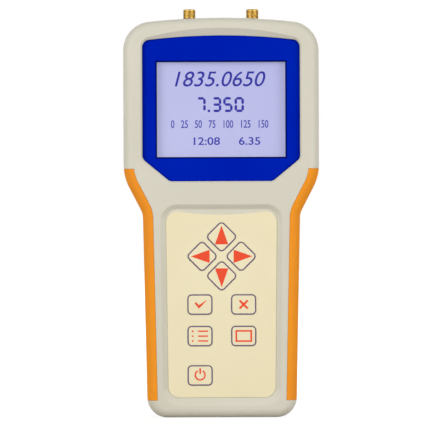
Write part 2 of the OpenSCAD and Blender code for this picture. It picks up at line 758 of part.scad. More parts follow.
// What lies inside the steel frame
module lcd_layer(y0, t) {
    inside = 2 * (frame_skin + fit);
    block(frame_w - inside, frame_h - inside, y0, y0 + t, 0, window_z);
}

module lcd_glass() {
    color("lavender") lcd_layer(glass_y, glass_t);
}

module lcd_backlight() {
    color("white") lcd_layer(backlight_y, backlight_t);
}

module lcd_board() {
    color("darkgreen") difference() {
        block(lcd_board_w, lcd_board_h, lcd_board_y, lcd_board_back_y, 0, window_z);
        for (p = lcd_posts, x = [-1, 1])
            rod(x * p.x, p.y, small_screw_d + 0.4, lcd_board_y - 1, lcd_board_back_y + 1);
    }
}

module lcd_screws() {
    color("silver") for (p = lcd_posts, x = [-1, 1])
        screw(x * p.x, p.y, lcd_board_back_y + small_head_h, small_screw_d, small_head_d,
            small_head_h, lcd_board_t + 3);
}

// A strip of pins from the display's board to the main board
module lcd_header() {
    pitch = 2.54;
    pins = 20;
    z = window_z + frame_h / 2 - 2;
    color("black")
        block(pins * pitch, 2.4, lcd_board_back_y, board_y, 0, z);
}

// ---- Keypad ---------------------------------------------------------------------------

module keypad_overlay() {
    color("cornsilk") slab(overlay_y, keypad_floor_y) difference() {
        polygon(full_ring(half_ring(overlay_steps, 0)));
        for (spot = key_spots) key_shape(spot, key_gap);
    }
}

module key(i) {
    color("cornsilk") slab(overlay_y - key_rise, key_back_y) key_shape(key_spots[i], 0);
}

module plunger(i) {
    color("black") rod(key_spots[i][0], key_spots[i][1], plunger_d, key_back_y, plunger_foot_y);
}

module switch_body(i) {
    x = key_spots[i][0];
    z = key_spots[i][1];
    leg_t = 0.6;
    color("darkslategray") difference() {
        union() {
            block(switch_side, switch_side, switch_y, board_y, x, z);
            for (a = [-1, 1], b = [-1, 1])
                block(leg_t, 0.8, board_y - 1, board_y, x + a * (switch_side / 2 + leg_t / 2),
                    z + b * switch_side / 3);
        }
        rod(x, z, plunger_d + 2 * plunger_gap, switch_y - 1, plunger_foot_y + key_travel + 0.1);
    }
}

module key_up() { key(0); }
module key_left() { key(1); }
module key_right() { key(2); }
module key_down() { key(3); }
module key_confirm() { key(4); }
module key_cancel() { key(5); }
module key_menu() { key(6); }
module key_screen() { key(7); }
module key_power() { key(8); }
module plunger_up() { plunger(0); }
module plunger_left() { plunger(1); }
module plunger_right() { plunger(2); }
module plunger_down() { plunger(3); }
module plunger_confirm() { plunger(4); }
module plunger_cancel() { plunger(5); }
module plunger_menu() { plunger(6); }
module plunger_screen() { plunger(7); }
module plunger_power() { plunger(8); }
module switch_up() { switch_body(0); }
module switch_left() { switch_body(1); }
module switch_right() { switch_body(2); }
module switch_down() { switch_body(3); }
module switch_confirm() { switch_body(4); }
module switch_cancel() { switch_body(5); }
module switch_menu() { switch_body(6); }
module switch_screen() { switch_body(7); }
module switch_power() { switch_body(8); }

// ---- Electronics ----------------------------------------------------------------------

// The main board follows the inside of the case and is cut away round the case bosses
module main_board() {
    color("darkgreen") difference() {
        slab(board_y, board_back_y) intersection() {
            polygon(full_ring(half_ring(case_steps, board_inset)));
            translate([-head_w / 2, board_z0]) square([head_w, board_z1 - board_z0]);
        }
        for (p = boss_places, x = [-1, 1])
            rod(x * p.x, p.y, boss_d + 1, board_y - 1, board_back_y + 1);
        for (p = board_posts, x = [-1, 1])
            rod(x * p.x, p.y, small_screw_d + 0.4, board_y - 1, board_back_y + 1);
    }
}

module board_screws() {
    color("silver") for (p = board_posts, x = [-1, 1])
        screw(x * p.x, p.y, board_back_y + small_head_h, small_screw_d, small_head_d,
            small_head_h, board_t + 3);
}

module rf_shield() {
    skin_t = 0.4;
    color("silver") difference() {
        block(shield_w, shield_h, board_back_y, board_back_y + shield_d, 0, shield_z);
        block(shield_w - 2 * skin_t, shield_h - 2 * skin_t, board_back_y - 1,
            board_back_y + shield_d - skin_t, 0, shield_z);
    }
}

// Parts on the rear of the main board: [width, height, thickness, x, z]
module board_chips() {
    chips = [
        [14, 14, 1.4, -14, window_z - 16], [10, 10, 1.2, 12, window_z - 14],
        [8, 5, 1.6, 28, window_z - 18], [11, 4.5, 2.2, -30, window_z - 10],
        [7, 7, 2.8, 18, waist_z + 4], [8, 6, 1.5, -4, waist_z + 6],
        [6, 3.2, 1.6, -20, waist_z - 4]
    ];
    color("black") for (c = chips)
        block(c[0], c[1], board_back_y, board_back_y + c[2], c[3], c[4]);
}

module usb_socket() {
    skin_t = 0.35;
    z0 = 1.2;
    color("silver") difference() {
        translate([-usb_w / 2, board_y - usb_t, z0]) cube([usb_w, usb_t, usb_l]);
        translate([-usb_w / 2 + skin_t, board_y - usb_t + skin_t, z0 - 1])
            cube([usb_w - 2 * skin_t, usb_t - 2 * skin_t, usb_l - 1.5]);
    }
    // The tongue in the socket's mouth
    color("black") translate([-usb_w / 2 + 1.4, board_y - usb_t / 2 - 0.6, z0 + 1])
        cube([usb_w - 2.8, 1.2, usb_l - 3]);
}

// ---- Antenna jacks --------------------------------------------------------------------

module antenna_jack(x) {
    color("goldenrod") translate([x, jack_y, 0]) difference() {
        union() {
            translate([0, 0, thread_z0]) cylinder(d = thread_d, h = thread_l);
            translate([0, 0, thread_z0 + thread_l])
                cylinder(d1 = thread_d, d2 = thread_d - 2 * tip_bevel, h = tip_bevel);
            translate([0, 0, foot_z]) cylinder(d = neck_d, h = thread_z0 - foot_z + 0.1);
            translate([-foot_w / 2, -thread_d / 2, foot_z]) cube([foot_w, thread_d, foot_h]);
            // Four legs grip the edge of the board from both faces
            for (a = [-1, 1], side = [-1, 1])
                translate([a * (foot_w / 2 - tine_t / 2) - tine_t / 2,
                    side > 0 ? board_t / 2 : -board_t / 2 - tine_t, foot_z - tine_l])
                    cube([tine_t, tine_t, tine_l + 0.1]);
        }
        translate([0, 0, foot_z - 1]) cylinder(d = jack_bore_d, h = jack_tip_z - foot_z + 2);
    }
}

module left_antenna_jack() { antenna_jack(-jack_x); }
module right_antenna_jack() { antenna_jack(jack_x); }

module jack_insulators() {
    color("white") for (x = [-1, 1]) translate([x * jack_x, jack_y, 0]) difference() {
        translate([0, 0, foot_z]) cylinder(d = jack_bore_d - 2 * fit, h = insulator_z1 - foot_z);
        translate([0, 0, foot_z - 1])
            cylinder(d = contact_d + 2 * fit, h = insulator_z1 - foot_z + 2);
    }
}

// The centre contact stands on the board's edge, and its upper end is a hollow socket
module jack_contacts() {
    socket_l = 2.5;
    color("goldenrod") for (x = [-1, 1]) translate([x * jack_x, jack_y, 0]) difference() {
        translate([0, 0, foot_z]) cylinder(d = contact_d, h = insulator_z1 - foot_z);
        translate([0, 0, insulator_z1 - socket_l]) cylinder(d = contact_d * 0.7, h = socket_l + 1);
    }
}

// ---- Battery --------------------------------------------------------------------------

module battery_cell(i) {
    body_l = cell_l - nub_l;
    round_r = 0.6;
    up = cell_up[i];
    // The nub touches the contact plate at its own end of the bay
    start_z = up > 0 ? bay_z1 - contact_t - fit : bay_z0 + contact_t + fit;
    color("royalblue") translate([cell_x[i], cell_y, start_z]) mirror([0, 0, up > 0 ? 1 : 0]) {
        cylinder(d = nub_d, h = nub_l + 0.1);
        translate([0, 0, nub_l]) cylinder(d1 = cell_d - 2 * round_r, d2 = cell_d, h = round_r);
        translate([0, 0, nub_l + round_r]) cylinder(d = cell_d, h = body_l - 2 * round_r);
        translate([0, 0, cell_l - round_r])
            cylinder(d1 = cell_d, d2 = cell_d - 2 * round_r, h = round_r);
    }
}

module battery_cell_1() { battery_cell(0); }
module battery_cell_2() { battery_cell(1); }
module battery_cell_3() { battery_cell(2); }
module battery_cell_4() { battery_cell(3); }

// A conical spring wound up the Z axis, as one tube
module conical_spring(length) {
    turns = 3.25;
    steps = 12;
    sides = 6;
    base_r = 4.2;
    top_r = 2.7;
    rings = turns * steps;
    wire_r = spring_wire / 2;
    climb = length - spring_wire - 2 * fit;
    points = [for (i = [0:rings]) let (t = i / rings, a = 360 * turns * t)
        let (r = base_r + (top_r - base_r) * t, z = wire_r + fit + climb * t)
        for (k = [0:sides - 1]) let (b = 360 * k / sides, out = r + wire_r * cos(b))
            [out * cos(a), out * sin(a), z + wire_r * sin(b)]];
    faces = concat(
        [for (i = [0:rings - 1]) for (k = [0:sides - 1])
            let (a = i * sides + k, b = i * sides + (k + 1) % sides)
            each [[a, b, b + sides], [a, b + sides, a + sides]]],
        [[for (k = [sides - 1:-1:0]) k], [for (k = [0:sides - 1]) rings * sides + k]]
    );
    polyhedron(points = points, faces = faces);
}

module battery_springs() {
    color("silver") for (i = [0:3])
        if (cell_up[i] > 0)
            translate([cell_x[i], cell_y, bay_z0 + contact_t]) conical_spring(spring_l);
        else
            translate([cell_x[i], cell_y, bay_z1 - contact_t]) mirror([0, 0, 1])
                conical_spring(spring_l);
}

// At the lower end two plates join the cells in pairs. At the upper end one plate joins the
// middle cells, and the outer two have tails that reach forward to the board.
module battery_contact_plates() {
    plate_w = cell_d - 3;
    plate_d = cell_d - 4;
    low_z = bay_z0 + contact_t / 2;
    high_z = bay_z1 - contact_t / 2;
    pair_w = cell_pitch + plate_w;
    y0 = cell_y - plate_d / 2;
    y1 = cell_y + plate_d / 2;
    color("silver") {
        for (x = [-1, 1]) block(pair_w, contact_t, y0, y1, x * cell_pitch, low_z);
        block(pair_w, contact_t, y0, y1, 0, high_z);
        for (x = [cell_x[0], cell_x[3]]) {
            block(plate_w, contact_t, y0, y1, x, high_z);
            block(tail_w, contact_t, board_back_y, y0 + 0.1, x, high_z);
        }
    }
}

front_shell();
rear_shell();
left_grip();
right_grip();
battery_door();
door_foam_pad();
case_screws();
display_bezel();
display_window();
lcd_frame();
lcd_glass();
lcd_backlight();
lcd_board();
lcd_header();
lcd_screws();
keypad_overlay();
key_up();
key_left();
key_right();
key_down();
key_confirm();
key_cancel();
key_menu();
key_screen();
key_power();
plunger_up();
plunger_left();
plunger_right();
plunger_down();
plunger_confirm();
plunger_cancel();
plunger_menu();
plunger_screen();
plunger_power();
switch_up();
switch_left();
switch_right();
switch_down();
switch_confirm();
switch_cancel();
switch_menu();
switch_screen();
switch_power();
main_board();
board_screws();
rf_shield();
board_chips();
usb_socket();
left_antenna_jack();
right_antenna_jack();
jack_insulators();
jack_contacts();
battery_cell_1();
battery_cell_2();
battery_cell_3();
battery_cell_4();
battery_springs();
battery_contact_plates();
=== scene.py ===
import math
import bpy
import bmesh
import numpy as np
from mathutils import Matrix, Vector


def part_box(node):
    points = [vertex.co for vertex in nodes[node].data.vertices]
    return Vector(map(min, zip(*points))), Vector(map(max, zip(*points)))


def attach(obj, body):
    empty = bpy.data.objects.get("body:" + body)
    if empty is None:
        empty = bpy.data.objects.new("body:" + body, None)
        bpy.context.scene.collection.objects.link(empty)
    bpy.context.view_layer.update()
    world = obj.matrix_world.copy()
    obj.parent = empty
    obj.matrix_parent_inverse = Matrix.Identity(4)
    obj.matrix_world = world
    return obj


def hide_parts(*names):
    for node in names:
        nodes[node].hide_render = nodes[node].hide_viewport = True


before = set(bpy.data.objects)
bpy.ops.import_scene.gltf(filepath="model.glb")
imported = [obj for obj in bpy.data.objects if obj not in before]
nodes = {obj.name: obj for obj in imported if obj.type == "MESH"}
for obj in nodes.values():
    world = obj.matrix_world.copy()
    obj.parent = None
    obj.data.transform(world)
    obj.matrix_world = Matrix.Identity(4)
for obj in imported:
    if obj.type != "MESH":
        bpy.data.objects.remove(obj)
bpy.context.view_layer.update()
mm = 0.001
print("frame loaded:", len(nodes), "CAD nodes")


# Outlines. A step is a row [centre x, centre z, signed radius, heading]: a place on an arc that
# can be moved inwards by any inset.

def cornerArc(a, b, c, radius, count):
    # The arc that rounds corner b of the path a-b-c: its centre lies one radius to the side of
    # the touching point, and the heading turns evenly from a-b to b-c
    first = math.atan2(b[1] - a[1], b[0] - a[0])
    turn = math.atan2(c[1] - b[1], c[0] - b[0]) - first
    turn = (turn + math.pi) % (2 * math.pi) - math.pi
    side = math.copysign(1, turn)
    reach = radius * math.tan(abs(turn) / 2)
    touch = np.array([b[0] - reach * math.cos(first), b[1] - reach * math.sin(first)])
    centre = touch + side * radius * np.array([-math.sin(first), math.cos(first)])
    headings = first + turn * np.linspace(0, 1, count + 1)
    return np.column_stack([np.tile(centre, (count + 1, 1)), np.full(count + 1, side * radius),
                            headings])


def archedTop(halfWidth, crown, archRadius, radius, count, archCount):
    # The corner between a straight side and an arched top, then the arch as far as x = 0
    low, x = crown - archRadius, halfWidth - radius
    lean = math.asin(x / (archRadius - radius))
    z = low + math.sqrt((archRadius - radius) ** 2 - x * x)
    corner = math.pi / 2 + (math.pi / 2 - lean) * np.linspace(0, 1, count + 1)
    arch = math.pi - lean + lean * np.linspace(0, 1, archCount + 1)[1:]
    return np.vstack([
        np.column_stack([np.full(count + 1, x), np.full(count + 1, z),
                         np.full(count + 1, radius), corner]),
        np.column_stack([np.zeros(archCount), np.full(archCount, low),
                         np.full(archCount, archRadius), arch])])


def taperedSteps(baseHalf, topHalf, z0, z1, radius, sag, count):
    # Right half of a rounded panel that widens from its base to its top. The top edge sags as a
    # parabola: from the corner's end it falls by (end x * tilt / 2) * (1 - (x / end x)^2)
    corner = cornerArc((baseHalf, z0), (topHalf, z1), (0, z1 - 2 * sag), radius, count)
    end, tilt = place(corner, 0)[-1], 2 * sag / topHalf
    t = np.linspace(1, 0, count + 1)[1:]
    sagging = np.column_stack([end[0] * t, end[1] - end[0] * tilt / 2 * (1 - t * t),
                               np.zeros(count), math.pi + np.arctan(tilt * t)])
    return np.vstack([cornerArc((0, z0), (baseHalf, z0), (topHalf, z1), radius, count),
                      corner, sagging])


def place(steps, inset):
    # centre + (signed radius - inset) * direction at right angles to the heading
    reach = steps[:, 2] - inset
    out = np.column_stack([np.sin(steps[:, 3]), -np.cos(steps[:, 3])])
    return steps[:, :2] + reach[:, None] * out


def bothHalves(half):
    # The right half followed by its mirror image, with no point on the middle line repeated
    back = half[::-1].copy()
    back[:, 0] *= -1
    return np.vstack([half, back[1:] if abs(half[-1, 0]) < 1e-6 else back])


def lift(ring, depth):
    # A ring of x and z put at a depth y, one number or one for each point
    return np.column_stack([ring[:, 0], np.broadcast_to(depth, len(ring)), ring[:, 1]])


def carried(steps, profile):
    # A mirrored outline at each [inset, depth] of a profile
    return [lift(bothHalves(place(steps, inset)), depth) for inset, depth in profile]


def roundedBox(width, height, radius, count=8):
    # Corner arcs of a rounded oblong about the origin, anticlockwise from the lower right
    corners = []
    for k, (sx, sz) in enumerate(((1, -1), (1, 1), (-1, 1), (-1, -1))):
        turns = math.pi / 2 * (k + np.linspace(0, 1, count + 1))
        corners.append(np.column_stack([
            np.full(count + 1, sx * (width / 2 - radius)),
            np.full(count + 1, sz * (height / 2 - radius)),
            np.full(count + 1, radius), turns]))
    return np.vstack(corners)


def roundEdge(radius, deep, count):
    # Quarter round between a face and the side, this deep under the surface, as
    # [inset, distance from the face]
    turns = np.linspace(0, math.pi / 2, count + 1)
    return np.column_stack([radius - (radius - deep) * np.sin(turns),
                            radius - (radius - deep) * np.cos(turns)])


# Meshes

def gridFaces(rows, columns, wrapRows):
    # Quads between neighbouring rows and columns; the columns always close on themselves
    i = np.arange(rows if wrapRows else rows - 1)[:, None]
    j = np.arange(columns)[None, :]
    nextI, nextJ = (i + 1) % rows, (j + 1) % columns
    quads = np.stack([i * columns + j, i * columns + nextJ, nextI * columns + nextJ,
                      nextI * columns + j], -1)
    return quads.reshape(-1, 4).tolist()


def addObject(name, data):
    made = bpy.data.objects.new(name, data)
    bpy.context.scene.collection.objects.link(made)
    return made


def skin(name, rings, wrap=False):
    # Solid through a stack of closed rings, in mm: flat ends, or the last ring joined to the first
    rings = np.asarray(rings, float)
    rows, columns = rings.shape[:2]
    faces = gridFaces(rows, columns, wrap)
    if not wrap:
        faces += [list(range(columns))[::-1],
                  list(range((rows - 1) * columns, rows * columns))]
    mesh = bpy.data.meshes.new(name)
    mesh.from_pydata((rings.reshape(-1, 3) * mm).tolist(), [], faces)
    made = addObject(name, mesh)
    tidyMesh(made)
    return made


def tidyMesh(piece):
    # Merges doubled points and turns every face outwards
    work = bmesh.new()
    work.from_mesh(piece.data)
    bmesh.ops.remove_doubles(work, verts=work.verts, dist=1e-7)
    bmesh.ops.dissolve_degenerate(work, edges=work.edges, dist=1e-7)
    bmesh.ops.recalc_face_normals(work, faces=work.faces)
    work.to_mesh(piece.data)
    work.free()


def settle(piece):
    # The mesh as its modifiers leave it becomes the piece's own mesh
    graph = bpy.context.evaluated_depsgraph_get()
    finished = bpy.data.meshes.new_from_object(piece.evaluated_get(graph))
    old = piece.data
    piece.modifiers.clear()
    piece.data = finished
    bpy.data.meshes.remove(old)


def combine(piece, operation, tools):
    # Exact boolean of the piece with all the tools, which are used up
    group = bpy.data.collections.new("tools")
    for tool in tools:
        group.objects.link(tool)
    change = piece.modifiers.new("change", "BOOLEAN")
    change.operation = operation
    change.operand_type = "COLLECTION"
    change.collection = group
    change.solver = "EXACT"
    settle(piece)
    for tool in tools:
        bpy.data.objects.remove(tool)
    bpy.data.collections.remove(group)
    return piece


def smooth(piece, angle=32, bevel=0.0):
    # Rounds the hard edges a little, then shades smoothly across edges under the angle
    if bevel:
        change = piece.modifiers.new("bevel", "BEVEL")
        change.width = bevel * mm
        change.segments = 2
        change.limit_method = "ANGLE"
        change.angle_limit = math.radians(40)
        settle(piece)
    piece.data.shade_smooth()
    piece.data.set_sharp_from_angle(angle=math.radians(angle))
    change = piece.modifiers.new("normals", "WEIGHTED_NORMAL")
    change.keep_sharp = True
    settle(piece)
    return piece


def dress(piece, finish, body, slotName, *stoodFor):
    # One finish, the body it rides on, its slot name (not used), and the CAD nodes that it stands
    # for
    piece.data.materials.clear()
    piece.data.materials.append(finish)
    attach(piece, body)
    if stoodFor:
        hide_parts(*stoodFor)
    return piece


def joined(name, parts):
    # One object with the meshes of all the parts, which are used up
    mesh, work = bpy.data.meshes.new(name), bmesh.new()
    for part in parts:
        work.from_mesh(part.data)
        bpy.data.objects.remove(part)
    work.to_mesh(mesh)
    work.free()
    return addObject(name, mesh)


def turned(name, profile, at, axis="y", count=48):
    # Revolves [radius, height] rows about a line through a point, along y or z
    profile = np.asarray(profile, float)
    turns = np.linspace(0, 2 * math.pi, count, endpoint=False)
    across = profile[:, :1] * np.cos(turns)
    up = profile[:, :1] * np.sin(turns)
    along = np.broadcast_to(profile[:, 1:], across.shape)
    order = (across, along, up) if axis == "y" else (across, up, along)
    return skin(name, np.stack(order, -1) + np.asarray(at, float))


def rod(x, z, radius, y0, y1, count=40):
    # A cylinder along y
    return turned("rod", [[radius, y0], [radius, y1]], (x, 0, z), "y", count)


def block(x0, x1, y0, y1, z0, z1):
    # A box between six planes
    ring = np.array([[x0, z0], [x1, z0], [x1, z1], [x0, z1]])
    return skin("block", [lift(ring, y0), lift(ring, y1)])


def slab(ring, y0, y1):
    # A ring of x and z carried straight from one depth to another
    return skin("slab", [lift(ring, y0), lift(ring, y1)])


def bothSides(maker, x, *rest):
    # The same piece at -x and at x
    return [maker(side * x, *rest) for side in (-1, 1)]


# Materials

class Wire:
    # One value in a material: each operator adds one Math node
    def __init__(self, sheet, socket):
        self.sheet, self.socket = sheet, socket

    def math(self, operation, first, second=0.0):
        return self.sheet.node("ShaderNodeMath", {"operation": operation},
                               {0: first, 1: second})

    def __gt__(self, other):
        return self.math("GREATER_THAN", self, other)

    def __abs__(self):
        return self.math("ABSOLUTE", self)

    def most(self, other):
        return self.math("MAXIMUM", self, other)

    def fraction(self):
        return self.math("FRACT", self)

    def clip(self):
        return self.sheet.node("ShaderNodeClamp", {}, {0: self})

    def ramp(self, low, gain):
        # 0 up to the low value, from there rising with this gain to 1
        return ((self - low) * gain).clip()


for sign, operation in (("add", "ADD"), ("sub", "SUBTRACT"), ("mul", "MULTIPLY"),
                        ("truediv", "DIVIDE")):
    setattr(Wire, "__%s__" % sign, lambda a, b, o=operation: a.math(o, a, b))
    setattr(Wire, "__r%s__" % sign, lambda a, b, o=operation: a.math(o, b, a))


class Sheet:
    # A node tree under construction
    def __init__(self, tree):
        self.tree = tree

    def node(self, kind, settings=None, inputs=None, output=0):
        made = self.tree.nodes.new(kind)
        for key, value in (settings or {}).items():
            if key == "stops":
                while len(made.color_ramp.elements) < len(value):
                    made.color_ramp.elements.new(0.5)
                for element, (spot, colour) in zip(made.color_ramp.elements, value):
                    element.position, element.color = spot, colour
            else:
                setattr(made, key, value)
        for key, value in (inputs or {}).items():
            self.feed(made.inputs[key], value)
        return Wire(self, made.outputs[output])

    def feed(self, socket, value):
        if isinstance(value, Wire):
            self.tree.links.new(value.socket, socket)
        else:
            socket.default_value = value

    def mix(self, first, second, share):
        # first where the share is 0, second where it is 1
        return self.node("ShaderNodeMix", {"data_type": "RGBA"},
                         {0: share, 6: first, 7: second}, 2)

    def spot(self, centre=(0, 0, 0), stretch=(1, 1, 1)):
        # Object coordinates, moved so that the centre (in mm) is their zero
        raw = self.node("ShaderNodeTexCoord", output="Object")
        moved = [-c * mm * s for c, s in zip(centre, stretch)]
        return self.node("ShaderNodeMapping", {"vector_type": "POINT"},
                         {"Vector": raw, "Location": moved, "Scale": stretch})

    def axes(self, where):
        # The x, y and z of a vector, in mm
        split = self.tree.nodes.new("ShaderNodeSeparateXYZ")
        self.feed(split.inputs[0], where)
        return [Wire(self, out) * 1000.0 for out in split.outputs]

    def noise(self, where, size, detail=2.0, rough=0.5):
        # Noise whose features are about this many mm wide
        return self.node("ShaderNodeTexNoise", {},
                         {"Vector": where, "Scale": 1000.0 / size, "Detail": detail,
                          "Roughness": rough})


class Paint(Sheet):
    # A material built on one Principled shader
    def __init__(self, name, **constants):
        self.material = bpy.data.materials.new(name)
        self.material.use_nodes = True
        super().__init__(self.material.node_tree)
        self.shader = self.tree.nodes["Principled BSDF"]
        for key, value in constants.items():
            self.shader.inputs[spaced(key)].default_value = value

    def set(self, **links):
        for key, value in links.items():
            self.feed(self.shader.inputs[spaced(key)], value)

    def bump(self, height, depth, strength=1.0):
        # Height from 0 to 1 stands for this many mm
        self.set(normal=self.node("ShaderNodeBump", {},
                                  {"Height": height, "Distance": depth * mm,
                                   "Strength": strength}))


def spaced(key):
    # baseColor -> Base Color
    if key == "gloss":
        return "Specular IOR Level"
    words = "".join(" " + c if c.isupper() else c for c in key).split()
    return " ".join(w.capitalize() for w in words)


def colour(red, green, blue):
    # The linear colour of three screen values from 0 to 255
    share = np.array([red, green, blue]) / 255
    linear = np.where(share <= 0.04045, share / 12.92, ((share + 0.055) / 1.055) ** 2.4)
    return (*linear.tolist(), 1.0)


def moulded(name, settings):
    # Moulded plastic or rubber: a broad drift between two tints, fine mottling, a spark-eroded
    # grain as bump, and roughness that follows the grain
    paint = Paint(name, gloss=settings.get("gloss", 0.4))
    where = paint.spot(settings.get("centre", (0, 0, 0)))
    broad = paint.noise(where, settings["driftSize"], 2.0)
    speck = paint.noise(where, settings["grainSize"] * 2.5, 3.0)
    grain = paint.noise(where, settings["grainSize"], 4.0, 0.6)
    drift = paint.mix(settings["tintA"], settings["tintB"], broad.ramp(0.35, 3.0))
    mottled = paint.mix(drift, settings["fleck"], (speck - 0.5).clip() * settings["fleckShare"])
    paint.set(baseColor=mottled,
              roughness=settings["roughness"] + (grain - 0.5) * settings["roughnessSpread"])
    paint.bump(grain, settings["grainDepth"], settings.get("bump", 0.6))
    return paint.material


def metal(name, settings):
    # Plated or rolled metal: slow stains between two tints, fine drawn lines and small pits
    paint = Paint(name, metallic=1.0, specularTint=settings.get("edgeTint", (1, 1, 1, 1)))
    where = paint.spot(settings.get("centre", (0, 0, 0)), settings.get("stretch", (1, 1, 1)))
    stain = paint.noise(where, settings["stainSize"], 3.0)
    line = paint.noise(where, settings["grainSize"], 4.0, 0.6)
    paint.set(baseColor=paint.mix(settings["tintA"], settings["tintB"], stain.ramp(0.3, 2.5)),
              roughness=settings["roughness"] + line * settings["roughnessSpread"])
    paint.bump(line, settings["grainDepth"], 0.4)
    return paint.material


# Case

caseSize = {
    "handleHeight": 105.6, "neckHeight": 19.2, "headHeight": 82.2,
    "headWidth": 101.3, "waistWidth": 81.5, "baseWidth": 77.0, "thickness": 37.0,
    "crownRadius": 350.0, "headCorner": 15.0, "shoulderRadius": 26.0, "waistRadius": 10.0,
    "baseCorner": 10.4, "frontEdge": 5.0, "rearEdge": 5.2,
    "wall": 2.8, "lipHeight": 1.2, "lipThickness": 1.3, "seamGroove": 0.3,
    "edgeSteps": 12, "innerSteps": 6, "fit": 0.1,
    "bite": 0.5, "past": 1.0,   # how far added parts reach into a wall, and cuts past it
    "ribHeight": 4.0, "ribHalf": 0.6, "ribInset": 1.6, "ribSpread": 0.4,
}
waistZ = caseSize["handleHeight"]
shoulderZ = waistZ + caseSize["neckHeight"]
crownZ = shoulderZ + caseSize["headHeight"]
faceY, rearY = -caseSize["thickness"] / 2, caseSize["thickness"] / 2
wall, fit, bite, past = (caseSize[k] for k in ("wall", "fit", "bite", "past"))
headHalf, waistHalf, baseHalf = (caseSize[k] / 2 for k in ("headWidth", "waistWidth", "baseWidth"))
caseSteps = np.vstack([
    cornerArc((0, 0), (baseHalf, 0), (waistHalf, waistZ), caseSize["baseCorner"], 18),
    cornerArc((baseHalf, 0), (waistHalf, waistZ), (headHalf, shoulderZ),
              caseSize["waistRadius"], 8),
    cornerArc((waistHalf, waistZ), (headHalf, shoulderZ), (headHalf, crownZ),
              caseSize["shoulderRadius"], 16),
    archedTop(headHalf, crownZ, caseSize["crownRadius"], caseSize["headCorner"], 20, 20)])

panelSize = {
    "border": 9.95, "windowSide": 7.5, "windowTop": 13.7, "windowFoot": 12.5, "footWidth": 53.2,
    "drop": 9.4, "footDrop": 2.5, "slantHeight": 11.6, "crownRadius": 312.0, "corner": 3.8,
    "thickness": 1.1, "sink": 2.4, "dishReach": 3.7, "bevel": 0.8, "paneRoom": 2.7,
    "backing": 1.4, "backBorder": 1.6, "edge": 0.3,
}
panelHalf = headHalf - panelSize["border"]
panelCrownZ = crownZ - panelSize["drop"]
panelBaseZ = shoulderZ - panelSize["footDrop"]
slantZ = panelBaseZ + panelSize["slantHeight"]
windowHalf = panelHalf - panelSize["windowSide"]
windowZ0 = panelBaseZ + panelSize["windowFoot"]
windowZ1 = panelCrownZ - panelSize["windowTop"]
windowZ = (windowZ0 + windowZ1) / 2
panelFaceY = faceY + panelSize["sink"]
panelFloorY = panelFaceY + panelSize["thickness"]
panelBackY = panelFloorY + panelSize["backing"]
panelSteps = np.vstack([
    cornerArc((0, panelBaseZ), (panelSize["footWidth"] / 2, panelBaseZ), (panelHalf, slantZ),
              panelSize["corner"], 8),
    cornerArc((panelSize["footWidth"] / 2, panelBaseZ), (panelHalf, slantZ),
              (panelHalf, panelCrownZ), panelSize["corner"], 8),
    archedTop(panelHalf, panelCrownZ, panelSize["crownRadius"], panelSize["corner"], 12, 36)])

keypadSize = {
    "z0": 10.5, "rise": 1.7, "sag": 2.0, "brimSag": 0.1, "waistBorder": 12.1, "baseBorder": 10.95,
    "corner": 5.6, "thickness": 0.5, "recessDepth": 2.0, "slopeSide": 3.4, "slopeTop": 3.3,
    "slopeBase": 4.4, "slopeShare": 0.95, "backing": 2.2, "travel": 0.3, "arrowSide": 12.0,
    "keyWidth": 13.1, "keyHeight": 10.7, "keyCorner": 2.3, "keyGap": 0.15, "plungerWidth": 3.5,
    "plungerRoom": 0.5, "keySlack": 0.08, "keyRise": 0.12, "keySlope": 1.5, "keyRoom": 0.15,
    "padInsets": (0.08, 0.2, 0.4, 0.6, 0.8, 1.0, 1.2, 1.5), "lineInsets": (0.1, 0.3, 0.5, 0.7),
    "backBorder": 0.8, "cornerSteps": 14,
}
keypadFloorY = faceY + keypadSize["recessDepth"]
keypadBackY = keypadFloorY + keypadSize["backing"]
filmY = keypadFloorY - keypadSize["thickness"]


def keypadSteps(sag, side=0.0, top=0.0, base=0.0):
    # The film's outline, grown by these amounts
    k = keypadSize
    return taperedSteps(baseHalf - k["baseBorder"] + side, waistHalf - k["waistBorder"] + side,
                        k["z0"] - base, waistZ + k["rise"] + top, k["corner"] + side, k[sag],
                        k["cornerSteps"])


filmSteps, footSteps = keypadSteps("sag"), keypadSteps("brimSag")
brimSteps = keypadSteps("brimSag", keypadSize["slopeSide"], keypadSize["slopeTop"],
                        keypadSize["slopeBase"])
keyNames = ["up", "left", "right", "down", "confirm", "cancel", "menu", "screen", "power"]
arrowTurns = {"up": 0, "right": 1, "down": 2, "left": 3}   # quarter turns from upright


def middleOf(node):
    # The middle of a CAD node's box, in mm
    low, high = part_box(node)
    return np.array((low + high) / 2) / mm


def keyRing(name, inset):
    # The outline of a key at an inset: a rounded oblong, or a rounded square on its corner
    middle = middleOf("key_" + name)[[0, 2]]
    k = keypadSize
    if name in arrowTurns:
        steps = roundedBox(k["arrowSide"], k["arrowSide"], k["keyCorner"])
        turn = math.sqrt(0.5) * np.array([[1, 1], [-1, 1]])
    else:
        steps, turn = roundedBox(k["keyWidth"], k["keyHeight"], k["keyCorner"]), np.eye(2)
    return place(steps, inset) @ turn + middle


